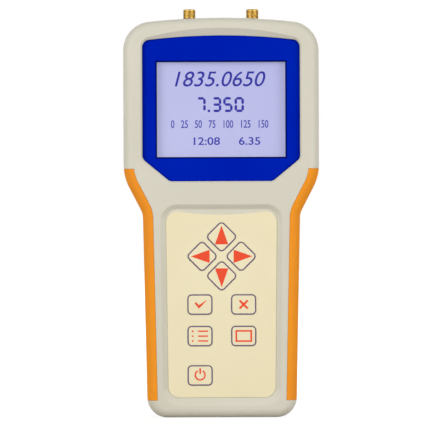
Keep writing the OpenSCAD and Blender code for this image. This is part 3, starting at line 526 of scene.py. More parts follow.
fastenSize = {
    "screwWidth": 2.9, "screwHead": 5.5, "screwHeadHeight": 2.2, "screwLength": 22.0,
    "screwPitch": 1.1, "screwRoom": 0.2, "headRoom": 0.25, "bossWidth": 6.4, "sink": 4.0,
    "sinkBevel": 0.45, "sinkBevelDepth": 0.35, "smallWidth": 2.2, "smallHead": 4.2,
    "smallHeadHeight": 1.6, "smallLength": 4.6, "smallPitch": 0.8, "smallBore": 6.0,
    "postWidth": 4.8,
}
boardY, boardBackY = -5.0, -3.4
displayBoardY, displayBoardBackY = -8.2, -6.6
bossX = headHalf - wall - fastenSize["bossWidth"] / 2 - 0.7
bossPlaces = [(bossX, crownZ - 17), (bossX, shoulderZ + 9.4), (baseHalf - 16.5, wall + 4.6)]
boardPosts = [(bossX - 0.4, windowZ), (waistHalf - 11.75, waistZ - 6), (baseHalf - 8.5, 19.2)]
displayPosts = [(windowHalf + 4.3, windowZ + side * 30.95) for side in (1, -1)]

gripSize = {"z0": 9.1, "z1": 128.7, "reach": 5.4, "thickness": 1.4, "edge": 0.2,
            "bedOver": 2.0}
portSize = {"jackX": 16.4, "jackY": -4.2, "mouthRadius": 3.475, "flareRadius": 4.2,
            "mouthDepth": 12.0, "flareDepth": 0.75, "flareOver": 0.2,
            "socket": (-4.25, 4.25, -9.3, -4.6, -1, 4.8)}


def gripContour(depth, slack):
    # Section of a side strip at a depth under the surface: from the front face round both
    # quarter-round edges to the rear face, as [inset, y]
    front = roundEdge(caseSize["frontEdge"], depth, caseSize["edgeSteps"])
    rear = roundEdge(caseSize["rearEdge"], depth, caseSize["edgeSteps"])[::-1]
    reach = gripSize["reach"] + slack
    return np.vstack([[[reach, faceY + depth]],
                      front + [0, faceY], rear * [1, -1] + [0, rearY],
                      [[reach, rearY - depth]]])


def sideStrip(side, outerDepth, innerDepth, slack):
    # The strip section carried along the side of the case, cut level at both ends
    section = np.vstack([gripContour(outerDepth, slack), gripContour(innerDepth, slack)[::-1]])
    follows = caseSteps[(caseSteps[:, 3] > math.radians(25))
                        & (caseSteps[:, 3] <= math.radians(90.01))]
    across = follows[:, 2:3] - section[None, :, 0]
    x = follows[:, 0:1] + across * np.sin(follows[:, 3:4])
    z = follows[:, 1:2] - across * np.cos(follows[:, 3:4])
    y = np.broadcast_to(section[:, 1], x.shape)
    strip = skin("strip", np.stack([side * x, y, z], -1))
    return combine(strip, "INTERSECT", [block(-60, 60, -30, 30, gripSize["z0"] - slack,
                                              gripSize["z1"] + slack)])


def panelRecess():
    # Bevel of the recess, which grows into a dished slope along the arched top: the share of
    # dish is 1 - (x / half width)^2 over the top edge
    edge = place(panelSteps, 0)
    share = np.where(panelSteps[:, 3] > math.pi / 2, 1 - (edge[:, 0] / panelHalf) ** 2, 0)
    wide = panelSize["bevel"] + (panelSize["dishReach"] - panelSize["bevel"]) * share
    deep = panelSize["bevel"] + (panelSize["sink"] - panelSize["bevel"]) * share

    def ring(t, lifted=0.0):
        spot = place(panelSteps, -fit - wide * (1 - t))
        fall = deep * t - lifted
        return bothHalves(np.column_stack([spot, faceY + fall]))[:, [0, 2, 1]]

    rings = [ring(0, past)] + [ring(t) for t in np.linspace(0, 1, 11)]
    floor = lift(bothHalves(place(panelSteps, -fit)), panelFloorY)
    return skin("panelRecess", rings + [floor])


def keypadRecess():
    # From the brim down to a flat floor: the share of the depth is the mean of s and the
    # smooth step of s
    foot, brim = place(footSteps, -fit), place(brimSteps, 0)
    rings = [lift(bothHalves(brim), faceY - past)]
    for s in np.linspace(0, 1, 17):
        share = (s + s * s * (3 - 2 * s)) / 2
        rings.append(lift(bothHalves(brim + (foot - brim) * s * keypadSize["slopeShare"]),
                          faceY + keypadSize["recessDepth"] * share))
    return skin("keypadRecess", rings)


def gripBeds():
    # What the grips' beds take out of the case: their strips, a little larger all round
    return bothSides(sideStrip, 1, -gripSize["bedOver"], gripSize["thickness"] + fit, fit)


def frontCaseShape():
    # The case outline carried along a section: in at the face by a quarter round, back to the
    # seam with its lip, and the same again one wall further in. Backings and posts are added,
    # then the recesses, the window, the keys, the bores and the mouths are cut.
    c, f, k, p = caseSize, fastenSize, keypadSize, portSize
    outer = roundEdge(c["frontEdge"], 0, c["edgeSteps"]) + [0, faceY]
    inner = (roundEdge(c["frontEdge"], wall, c["innerSteps"]) + [0, faceY])[::-1]
    rim = [[0, -c["seamGroove"]], [c["seamGroove"], 0], [wall - c["lipThickness"], 0],
           [wall - c["lipThickness"], c["lipHeight"]], [wall, c["lipHeight"]]]
    case = skin("front_case", carried(caseSteps, np.vstack([outer, rim, inner])))
    combine(case, "DIFFERENCE", gripBeds())
    added = [slab(bothHalves(place(steps, -border)), faceY + wall / 2, backY)
             for steps, border, backY in ((panelSteps, panelSize["backBorder"], panelBackY),
                                          (brimSteps, k["backBorder"], keypadBackY))]
    for spots, width, top in ((bossPlaces, f["bossWidth"], -fit),
                              (boardPosts, f["postWidth"], boardY - fit),
                              (displayPosts, f["postWidth"], displayBoardY - fit)):
        for x, z in spots:
            added += bothSides(rod, x, z, width / 2, faceY + wall - bite, top)
    combine(case, "UNION", added)
    room = panelSize["paneRoom"]
    cut = [panelRecess(), keypadRecess(),
           block(-windowHalf - room, windowHalf + room, panelFloorY - past, panelBackY + past,
                 windowZ0 - room, windowZ1 + room)]
    for name in keyNames:
        x, _, z = middleOf("key_" + name)
        cut.append(slab(keyRing(name, -k["keyGap"]), keypadFloorY - past,
                        keypadFloorY + k["travel"] + k["keyRoom"]))
        cut.append(rod(x, z, k["plungerWidth"] / 2 + k["plungerRoom"], keypadFloorY,
                       keypadBackY + past, 32))
    screwTipY = rearY - f["sink"] - f["screwLength"]
    for spots, width, y0, y1 in (
            (bossPlaces, f["screwWidth"], screwTipY - past, past),
            (boardPosts, f["smallWidth"], boardY - f["smallBore"], boardY + past),
            (displayPosts, f["smallWidth"], faceY + wall + past, displayBoardY + past)):
        for x, z in spots:
            cut += bothSides(rod, x, z, (width + f["screwRoom"]) / 2, y0, y1, 24)
    mouth = [[p["mouthRadius"], crownZ - p["mouthDepth"]],
             [p["mouthRadius"], crownZ - p["flareDepth"]],
             [p["flareRadius"], crownZ + p["flareOver"]], [p["flareRadius"], crownZ + 2 * past]]
    for side in (-1, 1):
        cut.append(turned("mouth", mouth, (side * p["jackX"], p["jackY"], 0), "z"))
    cut.append(block(*p["socket"]))
    return smooth(combine(case, "DIFFERENCE", cut))


def bar(ring, x0, x1):
    # A solid along x with a ring of y and z as its section
    ring = np.asarray(ring, float)
    ends = [np.column_stack([np.full(len(ring), x), ring]) for x in (x0, x1)]
    return skin("bar", ends)


doorSize = {"width": 62.5, "z0": 13.0, "thickness": 2.0, "gap": 0.2, "noseGap": 0.1,
            "tabX": 20.75, "tabWidth": 9.0, "tabHeight": 2.6, "tabRoom": 2.0, "tabLap": 0.6,
            "tabIn": 1.4, "tabOut": 0.2, "tabFoot": 0.4,
            "latchWidth": 12.0, "latchLength": 3.0, "latchThickness": 1.2, "latchRoom": 0.4,
            "hollowFrom": -20.2, "hollowTo": 99.9, "edge": 0.35,
            "grooves": 5, "grooveStart": 5.45, "groovePitch": 2.0, "grooveWidth": 18.0,
            "grooveHeight": 0.9, "grooveCorner": 0.44, "grooveDepth": 0.4}
baySize = {"width": 58.7, "z0": 15.5, "z1": 72.5, "wall": 2.4, "floorY": 1.45, "floor": 1.5,
           "rim": 0.8, "hookDepth": 8.0, "slotX": 21.75, "slotHalf": 1.8}
hingeY = rearY - wall
hingeZ = baySize["z1"] + baySize["wall"] + 1.7
doorInY = rearY - doorSize["thickness"]


def doorOpening():
    # What is cut out for the door: its panel, the hollow in which its hinged edge turns, the
    # pocket of the hook tabs, and the notch of the latch
    d = doorSize
    half, gap = d["width"] / 2 + d["gap"], d["gap"]
    arc = np.radians(np.linspace(d["hollowFrom"], d["hollowTo"], 20))
    reach = wall + d["noseGap"]
    hollow = np.vstack([np.column_stack([hingeY + reach * np.cos(arc),
                                         hingeZ + reach * np.sin(arc)]),
                        [[hingeY - 0.5, hingeZ - 1]]])
    top = baySize["z1"] + baySize["wall"] - 0.01
    latch, room = d["latchWidth"] / 2 + d["latchRoom"], d["latchRoom"]
    return [
        block(-half, half, doorInY - 0.1, doorInY - 0.1 + wall, d["z0"] - gap, hingeZ),
        bar(hollow, -half, half),
        block(-half, half, baySize["floorY"] + baySize["hookDepth"], hingeY, top,
              top + wall + d["tabHeight"] + d["tabRoom"]),
        block(-half, half, hingeY - past, doorInY, top, hingeZ),
        block(-latch, latch, doorInY - d["latchLength"] - gap - room, doorInY + room,
              d["z0"] - gap, d["z0"] - gap + d["latchThickness"] + 2 * room)]


def rearCaseShape():
    # As the front case, turned to the rear: with the battery bay, bosses and ribs added, then
    # the door's room, the bay, the stepped screw bores and two slots for the contacts cut
    c, b, f = caseSize, baySize, fastenSize
    outer = (roundEdge(c["rearEdge"], 0, c["edgeSteps"]) * [1, -1] + [0, rearY])[::-1]
    inner = roundEdge(c["rearEdge"], wall, c["innerSteps"]) * [1, -1] + [0, rearY]
    rimInset = wall - c["lipThickness"] - fit
    rim = [[wall, c["lipHeight"] + fit], [rimInset, c["lipHeight"] + fit], [rimInset, 0],
           [c["seamGroove"], 0], [0, c["seamGroove"]]]
    case = skin("rear_case", carried(caseSteps, np.vstack([inner, rim, outer])))
    combine(case, "DIFFERENCE", gripBeds())
    half = b["width"] / 2 + b["wall"]
    added = [block(-half, half, b["floorY"] - b["floor"], rearY - past,
                   b["z0"] - b["wall"] - b["rim"], b["z1"] + b["wall"])]
    for x, z in bossPlaces:
        added += bothSides(rod, x, z, f["bossWidth"] / 2, 0, rearY - wall + bite)
    lowZ, topZ = bossPlaces[1][1], bossPlaces[0][1]
    ribY0, ribY1 = rearY - wall - c["ribHeight"], rearY - wall + bite
    ribX, thin, spread = bossX - c["ribInset"], c["ribHalf"], headHalf * c["ribSpread"]
    added += [block(-ribX, ribX, ribY0, ribY1, z - thin, z + thin) for z in (lowZ, topZ)]
    added += [block(x - thin, x + thin, ribY0, ribY1, lowZ, topZ) for x in (-spread, 0, spread)]
    combine(case, "UNION", added)
    cut = doorOpening()
    cut.append(block(-b["width"] / 2, b["width"] / 2, b["floorY"], rearY + past,
                     b["z0"], b["z1"]))
    narrow, wide = f["screwWidth"] / 2 + f["screwRoom"], f["screwHead"] / 2 + f["headRoom"]
    bore = [[narrow, -past], [narrow, rearY - f["sink"]], [wide, rearY - f["sink"]],
            [wide, rearY - f["sinkBevelDepth"]], [wide + f["sinkBevel"], rearY + 0.1],
            [wide + f["sinkBevel"], rearY + past]]
    for x, z in bossPlaces:
        cut += [turned("bore", bore, (side * x, 0, z)) for side in (-1, 1)]
    for x in (-b["slotX"], b["slotX"]):
        cut.append(block(x - b["slotHalf"], x + b["slotHalf"], b["floorY"] - b["floor"] - past,
                         b["floorY"] + past, b["z1"] - 0.55, b["z1"] + 0.05))
    return smooth(combine(case, "DIFFERENCE", cut))


caseTints = {"tintA": colour(205, 201, 184), "tintB": colour(210, 206, 191),
             "fleck": colour(184, 180, 162), "fleckShare": 0.5, "driftSize": 60,
             "grainSize": 0.35, "grainDepth": 0.02, "roughness": 0.5, "roughnessSpread": 0.15,
             "gloss": 0.25}
casePaint = moulded("satin_case_plastic", caseTints)
frontCase = dress(frontCaseShape(), casePaint, "case", "case_plastic", "front_shell")
print("front case:", len(frontCase.data.polygons), "faces")
rearCase = dress(rearCaseShape(), casePaint, "case", "case_plastic", "rear_shell")
print("rear case:", len(rearCase.data.polygons), "faces")

gripTints = {"tintA": colour(238, 148, 28), "tintB": colour(234, 143, 34),
             "fleck": colour(200, 118, 30), "fleckShare": 0.5, "driftSize": 30,
             "grainSize": 0.5, "grainDepth": 0.03, "roughness": 0.62, "roughnessSpread": 0.15,
             "gloss": 0.15}
gripPaint = moulded("soft_orange_rubber", gripTints)
for side, name in ((-1, "left_grip"), (1, "right_grip")):
    grip = smooth(sideStrip(side, 0, gripSize["thickness"], 0), bevel=gripSize["edge"])
    grip.name = name + "_strip"
    dress(grip, gripPaint, "case", "grip_rubber", name)
print("grips done")


# Battery door

def doorShape():
    # A flat panel whose top end turns round the hinge, with hook tabs, a latch and finger grooves
    d = doorSize
    half, lapZ = d["width"] / 2, hingeZ - d["tabLap"]
    arc = np.radians(np.linspace(0, 90, 14))
    section = np.vstack([[[doorInY, d["z0"]], [rearY, d["z0"]]],
                         np.column_stack([hingeY + wall * np.cos(arc),
                                          hingeZ + wall * np.sin(arc)]),
                         [[hingeY, lapZ], [doorInY, lapZ]]])
    door = bar(section, -half, half)
    added = [block(-d["latchWidth"] / 2, d["latchWidth"] / 2, doorInY - d["latchLength"],
                   doorInY + bite, d["z0"], d["z0"] + d["latchThickness"])]
    for x in (-d["tabX"], d["tabX"]):
        x0, x1 = x - d["tabWidth"] / 2, x + d["tabWidth"] / 2
        added += [block(x0, x1, hingeY - d["tabIn"], hingeY - d["tabOut"], lapZ,
                        hingeZ + wall + d["tabHeight"]),
                  block(x0, x1, hingeY - d["tabFoot"], hingeY + bite, lapZ, lapZ + wall)]
    combine(door, "UNION", added)
    grooves, steps = [], roundedBox(d["grooveWidth"], d["grooveHeight"], d["grooveCorner"], 6)
    for i in range(d["grooves"]):
        z = d["z0"] + d["grooveStart"] + d["groovePitch"] * i
        mouth = [lift(place(steps, inset) + [0, z], y)
                 for inset, y in ((0, rearY - d["grooveDepth"]), (0, rearY - 0.15),
                                  (-0.2, rearY + 0.05), (-0.2, rearY + past))]
        grooves.append(skin("groove", mouth))
    combine(door, "DIFFERENCE", grooves)
    return smooth(door, bevel=d["edge"] / 2)


batteryDoor = doorShape()
batteryDoor.name = "battery_door_panel"
dress(batteryDoor, casePaint, "door", "case_plastic", "battery_door")
print("battery door:", len(batteryDoor.data.polygons), "faces")


# Display

def panelShape():
    # The panel's outline carried through its thickness, in at the face by a quarter round, less
    # the window, whose edge widens a little towards the face
    p = panelSize
    edge = roundEdge(p["edge"], 0, 4)
    profile = np.vstack([edge + [0, panelFaceY], [[0, panelFloorY]]])
    panel = skin("display_panel", carried(panelSteps, profile))
    window = []
    for grow, y in ((0.3, panelFaceY - 0.2), (0.1, panelFaceY), (0, panelFaceY + 0.15),
                    (0, panelFloorY + past)):
        x, z0, z1 = windowHalf + grow, windowZ0 - grow, windowZ1 + grow
        window.append(lift(np.array([[-x, z0], [x, z0], [x, z1], [-x, z1]]), y))
    return smooth(combine(panel, "DIFFERENCE", [skin("window", window)]))


def panelPaint(name):
    # Blue printed film: a faint drift, fine matt grain, and a navy rim round the window that is
    # painted shade, standing for the shadow that the window's edge casts. The rim is where the
    # larger of
    # |x| - half width and |z| - half height is small.
    paint = Paint(name, gloss=0.0)
    where = paint.spot((0, 0, windowZ))
    x, _, z = paint.axes(where)
    beyond = (abs(x) - windowHalf).most(abs(z) - (windowZ1 - windowZ0) / 2)
    rim = (1.0 - (beyond - 0.55) * 3.0).clip()
    broad = paint.noise(where, 45, 2.0)
    grain = paint.noise(where, 0.25, 3.0)
    face = paint.mix(colour(0, 28, 168), colour(0, 34, 174), broad.ramp(0.35, 3.0))
    # The navy rim is painted shade: a painted shadow of the window's edge, not print on the film
    paint.set(baseColor=paint.mix(face, colour(0, 6, 72), rim),
              roughness=0.42 + (grain - 0.5) * 0.12)
    paint.bump(grain, 0.008, 0.5)
    return paint.material


def panePaint(name):
    # Clear pane: almost all of it lets light through, with faint wiping marks in its gloss
    paint = Paint(name, baseColor=(0.4, 0.4, 0.5, 1.0), alpha=0.04, gloss=0.15)
    streak = paint.noise(paint.spot(stretch=(1, 1, 4)), 9, 3.0)
    paint.set(roughness=0.04 + streak * 0.05)
    return paint.material


dotSize = 0.2767   # one dot of the screen, in mm


def screenPaint(name):
    # Liquid crystal glass, half of its light its own: lavender that pales towards the lower
    # left, and a fine grid of dots
    paint = Paint(name, gloss=0.2, emissionStrength=0.5)
    where = paint.spot((0, 0, windowZ))
    x, _, z = paint.axes(where)
    slide = (0.5 - x / 110.0 - z / 90.0).clip()
    cloud = paint.noise(where, 26, 2.0)
    face = paint.mix(colour(184, 187, 234), colour(197, 199, 240),
                     (slide * 0.7 + cloud * 0.3).clip())
    lines = [abs((axis / dotSize).fraction() - 0.5) > 0.42 for axis in (x, z)]
    grid = lines[0].most(lines[1])
    shown = paint.mix(face, colour(160, 164, 208), grid * 0.12)
    paint.set(baseColor=paint.mix(shown, (0, 0, 0, 1), 0.5), emissionColor=shown,
              roughness=0.25 + cloud * 0.1)
    return paint.material


dress(panelShape(), panelPaint("blue_panel_film"), "case", "panel_blue", "display_bezel")


def plate(name, node, corner, count, edge):
    # A flat plate as large as its CAD node, with small bevels round both faces
    low, high = (np.array(end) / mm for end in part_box(node))
    steps = roundedBox(high[0] - low[0], high[2] - low[2], corner, count)
    return smooth(skin(name, [lift(place(steps, inset) + (low + high)[[0, 2]] / 2, y)
                              for inset, y in ((edge, low[1]), (0, low[1] + edge),
                                               (0, high[1] - edge), (edge, high[1]))]))


dress(plate("clear_pane", "display_window", 0.8, 6, 0.15), panePaint("clear_pane"), "case",
      "clear_pane", "display_window")
dress(plate("screen_glass", "lcd_glass", 0.4, 4, 0.1), screenPaint("screen_glass"), "case",
      "lcd", "lcd_glass")


# What is shown on the screen, and the printing on the keys

def inkPaint(name, tintA, tintB):
    # Printing ink: two close tints in soft blotches, thin and slightly uneven
    paint = Paint(name, gloss=0.2)
    where = paint.spot()
    blotch = paint.noise(where, 1.2, 3.0)
    paint.set(baseColor=paint.mix(tintA, tintB, blotch.ramp(0.35, 3.0)),
              roughness=0.5 + (blotch - 0.5) * 0.2)
    paint.bump(blotch, 0.004, 0.4)
    return paint.material


def standUp(piece, x, z, width, height, surfaceY, thickness):
    # A flat mesh drawn in its own x and y is fitted to an oblong in front of the surface: its
    # y becomes z, and its thickness points forwards
    count = len(piece.data.vertices)
    points = np.empty(count * 3)
    piece.data.vertices.foreach_get("co", points)
    points = points.reshape(-1, 3)
    low, high = points.min(0), points.max(0)
    share = (points - low) / np.maximum(high - low, 1e-9)
    placed = np.column_stack([x + (share[:, 0] - 0.5) * width,
                              surfaceY + 0.01 - (thickness + 0.01) * share[:, 2],
                              z + (share[:, 1] - 0.5) * height]) * mm
    piece.data.vertices.foreach_set("co", placed.ravel())
    tidyMesh(piece)
    return piece


def fromCurve(name, curve):
    # The filled shape of a curve or of lettering, as a mesh object
    drawn = addObject(name + "_curve", curve)
    graph = bpy.context.evaluated_depsgraph_get()
    made = addObject(name, bpy.data.meshes.new_from_object(drawn.evaluated_get(graph)))
    bpy.data.objects.remove(drawn)
    return made


def writing(name, text, x, z, width, height, surfaceY, slant=0.0, weight=0.0):
    # Lettering in the built-in face, drawn out to this width and height
    curve = bpy.data.curves.new(name, "FONT")
    curve.body, curve.shear, curve.offset = text, slant, weight
    curve.extrude, curve.resolution_u = 0.05, 6
    return standUp(fromCurve(name, curve), x, z, width, height, surfaceY, 0.03)


def inked(name, loops, surfaceY, thickness=0.035):
    # Closed loops of x and z, filled where an odd number of them overlap, as a thin solid
    curve = bpy.data.curves.new(name, "CURVE")
    curve.dimensions, curve.fill_mode, curve.extrude = "2D", "BOTH", 0.5
    for loop in loops:
        loop = np.asarray(loop, float)
        spline = curve.splines.new("POLY")
        spline.points.add(len(loop) - 1)
        flat = np.column_stack([loop, np.zeros(len(loop)), np.ones(len(loop))])
        spline.points.foreach_set("co", flat.ravel())
        spline.use_cyclic_u = True
    every = np.vstack([np.asarray(loop, float) for loop in loops])
    low, high = every.min(0), every.max(0)
    return standUp(fromCurve(name, curve), *(low + high) / 2, *(high - low), surfaceY, thickness)


segmentsOf = {"0": "abcdef", "1": "bc", "2": "abged", "3": "abgcd", "4": "fgbc", "5": "afgcd",
              "6": "afgedc", "7": "abc", "8": "abcdefg", "9": "abcdfg"}


def segmentNumber(name, digits, x, z, height, surfaceY, stroke=1.15):
    # Seven-segment digits: each segment is a bar with pointed ends between two of the six nodes
    width, half, gap = height * 0.55, height / 2, 0.06
    ends = {"a": ((0, 2), (1, 2)), "b": ((1, 2), (1, 1)), "c": ((1, 1), (1, 0)),
            "d": ((0, 0), (1, 0)), "e": ((0, 1), (0, 0)), "f": ((0, 2), (0, 1)),
            "g": ((0, 1), (1, 1))}
    advance = width + stroke + 1.0
    wide = sum(advance if c.isdigit() else stroke + 0.9 for c in digits) - 1.0
    at, loops = x - wide / 2 + stroke / 2, []
    for mark in digits:
        if not mark.isdigit():
            dot = np.array([[-1, -1], [1, -1], [1, 1], [-1, 1]]) * stroke / 2
            loops.append(dot + [at, z - half])
            at += stroke + 0.9
            continue
        for letter in segmentsOf[mark]:
            (i0, j0), (i1, j1) = ends[letter]
            a = np.array([at + i0 * width, z - half + j0 * half])
            b = np.array([at + i1 * width, z - half + j1 * half])
            along = (b - a) / np.linalg.norm(b - a)
            across = np.array([-along[1], along[0]]) * stroke / 2
            a, b, point = a + along * gap, b - along * gap, along * stroke / 2
            loops.append([a, a + point + across, b - point + across, b, b - point - across,
                          a + point - across])
        at += advance
    return inked(name, loops, surfaceY, 0.03)


screenInk = inkPaint("screen_ink", colour(8, 12, 150), colour(16, 18, 160))
paleInk = inkPaint("screen_ink_pale", colour(38, 38, 162), colour(50, 50, 172))
screenLines = {
    "screen_line_top": {"text": "1835.0650", "x": -0.5, "z": 175.3, "width": 47.0,
                        "height": 7.9, "slant": 0.25, "weight": 0.003},
    "screen_line_large": {"digits": "7.350", "x": -0.5, "z": 162.0, "height": 6.5,
                          "stroke": 1.3},
    "screen_line_scale": {"text": "0   25   50   75   100   125   150", "x": -0.8, "z": 151.9,
                          "width": 50.5, "height": 4.1, "weight": 0.012},
    "screen_line_low": {"text": "12:08     6.35", "x": 3.0, "z": 143.1, "width": 34.5,
                        "height": 4.1, "weight": 0.012},
}
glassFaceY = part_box("lcd_glass")[0][1] / mm
for name, line in screenLines.items():
    shown = (segmentNumber if "digits" in line else writing)(name, surfaceY=glassFaceY, **line)
    dress(shown, screenInk if line["height"] > 5 else paleInk, "case", "lcd")
print("display done")


# Keypad

filmTints = {"tintA": colour(233, 223, 187), "tintB": colour(229, 218, 181),
             "fleck": colour(214, 204, 160), "fleckShare": 0.35, "driftSize": 55,
             "grainSize": 0.22, "grainDepth": 0.008, "roughness": 0.5, "roughnessSpread": 0.12,
             "gloss": 0.3}
filmPaint = moulded("cream_keypad_film", filmTints)
edge = roundEdge(0.12, 0, 3) + [0, filmY]
film = skin("keypad_film", carried(filmSteps, np.vstack([edge, [[0, keypadFloorY]]])))
combine(film, "DIFFERENCE", [slab(keyRing(name, -keypadSize["keySlack"]), filmY - past,
                                  keypadFloorY + past) for name in keyNames])
dress(smooth(film), filmPaint, "case", "keypad_film", "keypad_overlay")


def keySurface(inset):
    # Depth of a key's face: it rises as a smooth step over its outer slope
    t = np.clip(np.asarray(inset, float) / keypadSize["keySlope"], 0, 1)
    return filmY - 0.03 - keypadSize["keyRise"] * t * t * (3 - 2 * t)


def keyShape(name):
    # The key's outline at growing insets, each at the depth of the key's face there
    insets = np.array(keypadSize["padInsets"])
    profile = [(0, keypadFloorY), (0, filmY + 0.05), (0.03, filmY)]
    profile += list(zip(insets, keySurface(insets)))
    rings = [lift(keyRing(name, inset), y) for inset, y in profile]
    return smooth(skin("key_" + name + "_pad", rings), 50)


def keyOutline(name):
    # A printed line that follows the key's edge and lies on its face
    insets = keypadSize["lineInsets"]
    rows = [(i, keySurface(i) - 0.03) for i in insets]
    rows += [(i, keySurface(i) + 0.02) for i in insets[::-1]]
    rings = [lift(keyRing(name, inset), y) for inset, y in rows]
    return smooth(skin("key_" + name + "_outline", rings, wrap=True))


def strokeLoop(a, b, width):
    # A straight bar: both ends, plus and minus half the width at right angles
    a, b = np.array(a, float), np.array(b, float)
    along = (b - a) / np.linalg.norm(b - a)
    across = np.array([-along[1], along[0]]) * width / 2
    return [a + across, b + across, b - across, a - across]


def ringLoop(x, z, radius, start, end, count):
    # Points of a circle, clockwise from the top: x + radius * sin, z + radius * cos
    turns = np.radians(np.linspace(start, end, count, endpoint=end - start < 360))
    return np.column_stack([x + radius * np.sin(turns), z + radius * np.cos(turns)])


signSize = {
    "arrowBase": -3.9, "arrowTip": 5.8, "arrowHalf": 3.45,
    "tick": ((-2.8, 0.8), (-2.05, 1.35), (-0.55, -0.3), (3.5, 2.35), (3.6, 2.2), (-0.55, -2.15)),
    "crossReach": 2.5, "crossWidth": 0.75,
    "menuRows": (2.55, 0, -2.5), "menuDotX": -3.8, "menuDot": 0.48, "menuLineX": (-1.05, 4.2),
    "menuLine": 0.72, "screenBoxes": ((8.6, 6.1), (6.9, 4.4)),
    "powerRings": (2.9, 2.12), "powerZ": 0.2, "powerOpen": 32, "powerBarZ": (0.75, 3.75),
    "powerBar": 0.85,
}


def keySign(name):
    # The red sign of each key, as loops about the key's middle
    s = signSize
    if name in arrowTurns:
        turn = arrowTurns[name] * -math.pi / 2
        loop = np.array([[-s["arrowHalf"], s["arrowBase"]], [s["arrowHalf"], s["arrowBase"]],
                         [0, s["arrowTip"]]])
        spin = np.array([[math.cos(turn), math.sin(turn)], [-math.sin(turn), math.cos(turn)]])
        return [loop @ spin]
    if name == "confirm":
        return [s["tick"]]
    if name == "cancel":
        a, b = s["crossReach"], s["crossWidth"]
        return [[(0, b), (a - b, a), (a, a - b), (b, 0), (a, b - a), (a - b, -a), (0, -b),
                 (b - a, -a), (-a, b - a), (-b, 0), (-a, a - b), (b - a, a)]]
    if name == "menu":
        loops, (x0, x1) = [], s["menuLineX"]
        for z in s["menuRows"]:
            loops.append(ringLoop(s["menuDotX"], z, s["menuDot"], 0, 360, 16))
            loops.append(strokeLoop((x0, z), (x1, z), s["menuLine"]))
        return loops
    if name == "screen":
        return [place(roundedBox(w, h, 0.1, 2), 0) for w, h in s["screenBoxes"]]
    rings = [ringLoop(0, s["powerZ"], radius, s["powerOpen"], 360 - s["powerOpen"], 40)
             for radius in s["powerRings"]]
    low, high = s["powerBarZ"]
    return [np.vstack([rings[0], rings[1][::-1]]), strokeLoop((0, low), (0, high), s["powerBar"])]


outlineInk = inkPaint("outline_ink", colour(88, 70, 108), colour(98, 80, 116))
redInk = inkPaint("red_ink", colour(233, 80, 48), colour(228, 74, 44))
for name in keyNames:
    body = "key_" + name
    dress(keyShape(name), filmPaint, body, "keypad_film", body)
    dress(keyOutline(name), outlineInk, body, "keypad_film")
    x, _, z = middleOf(body)
    loops = [np.asarray(loop) + [x, z] for loop in keySign(name)]
    dress(inked("key_" + name + "_sign", loops, filmY - 0.15), redInk, body, "keypad_film")
print("keypad done")


# Antenna jacks

jackSize = {"threadWidth": 6.35, "pitch": 0.7056, "threadDepth": 0.28,
            "threadZ0": 206.9, "threadZ1": 211.5, "tipZ": 211.9, "bore": 4.6, "neckWidth": 5.55,
            "footZ": 199.6, "footHeight": 2.0, "footWidth": 9.5, "legLength": 4.0,
            "legThickness": 1.0, "legGap": 0.8}
goldTints = {"tintA": colour(178, 146, 72), "tintB": colour(194, 162, 88),
             "edgeTint": colour(150, 116, 66), "stainSize": 2.5, "grainSize": 0.3,
             "roughness": 0.38, "roughnessSpread": 0.12, "grainDepth": 0.006}
goldPaint = metal("gold_plate", goldTints)


def evenRows(values, count):
    # Each value repeated all round
    return np.repeat(np.asarray(values, float)[:, None], count, 1)


def ridge(height, turn, pitch):
    # Depth of a screw thread: 0 at the crest and 1 in the groove, climbing a pitch each turn
    phase = (height / pitch - turn / (2 * math.pi)) % 1
    return np.clip(np.abs(phase - 0.5) * 3.6 - 0.8, 0, 1)


def jackShape(side):
    # A tube whose radius is half the thread's width less the depth of the ridge, which fades
    # out at both ends, on a square foot with four legs
    j, count = jackSize, 72
    turns = np.linspace(0, 2 * math.pi, count, endpoint=False)
    heights = np.linspace(j["threadZ0"], j["threadZ1"], 61)
    ends = np.clip(np.minimum(heights - j["threadZ0"], j["threadZ1"] - heights) / 0.3, 0, 1)
    thread = j["threadWidth"] / 2 - j["threadDepth"] * ends[:, None] * ridge(
        heights[:, None], turns[None, :], j["pitch"])
    neck, rim, bore = j["neckWidth"] / 2, j["threadWidth"] / 2 - 0.4, j["bore"] / 2
    below = np.array([[neck, j["footZ"]], [neck, j["threadZ0"] - 0.05]])
    above = np.array([[rim, j["tipZ"] - 0.05], [rim - 0.06, j["tipZ"]], [bore + 0.1, j["tipZ"]],
                      [bore, j["tipZ"] - 0.12], [bore, j["footZ"]]])
    radii = np.vstack([evenRows(below[:, 0], count), thread, evenRows(above[:, 0], count)])
    tall = np.concatenate([below[:, 1], heights, above[:, 1]])
    x0, y0 = side * portSize["jackX"], portSize["jackY"]
    rings = np.stack([x0 + radii * np.cos(turns), y0 + radii * np.sin(turns),
                      np.broadcast_to(tall[:, None], radii.shape)], -1)
    jack = skin("jack", rings, wrap=True)
    half, deep = j["footWidth"] / 2, j["threadWidth"] / 2
    foot = block(x0 - half, x0 + half, y0 - deep, y0 + deep, j["footZ"],
                 j["footZ"] + j["footHeight"])
    through = [[bore, j["footZ"] - past], [bore, j["footZ"] + j["footHeight"] + past]]
    combine(foot, "DIFFERENCE", [turned("bore", through, (x0, y0, 0), "z", count)])
    legs, t = [], j["legThickness"]
    for across in (-1, 1):
        x = x0 + across * (half - t / 2)
        for y in (y0 + j["legGap"], y0 - j["legGap"] - t):
            legs.append(block(x - t / 2, x + t / 2, y, y + t, j["footZ"] - j["legLength"],
                              j["footZ"] + 0.1))
    return smooth(combine(jack, "UNION", [foot] + legs), 40)


for side, name in ((-1, "left_antenna_jack"), (1, "right_antenna_jack")):
    jack = dress(jackShape(side), goldPaint, "case", "gold_plate", name)
    jack.name = name + "_barrel"
print("jacks done")


# Screws

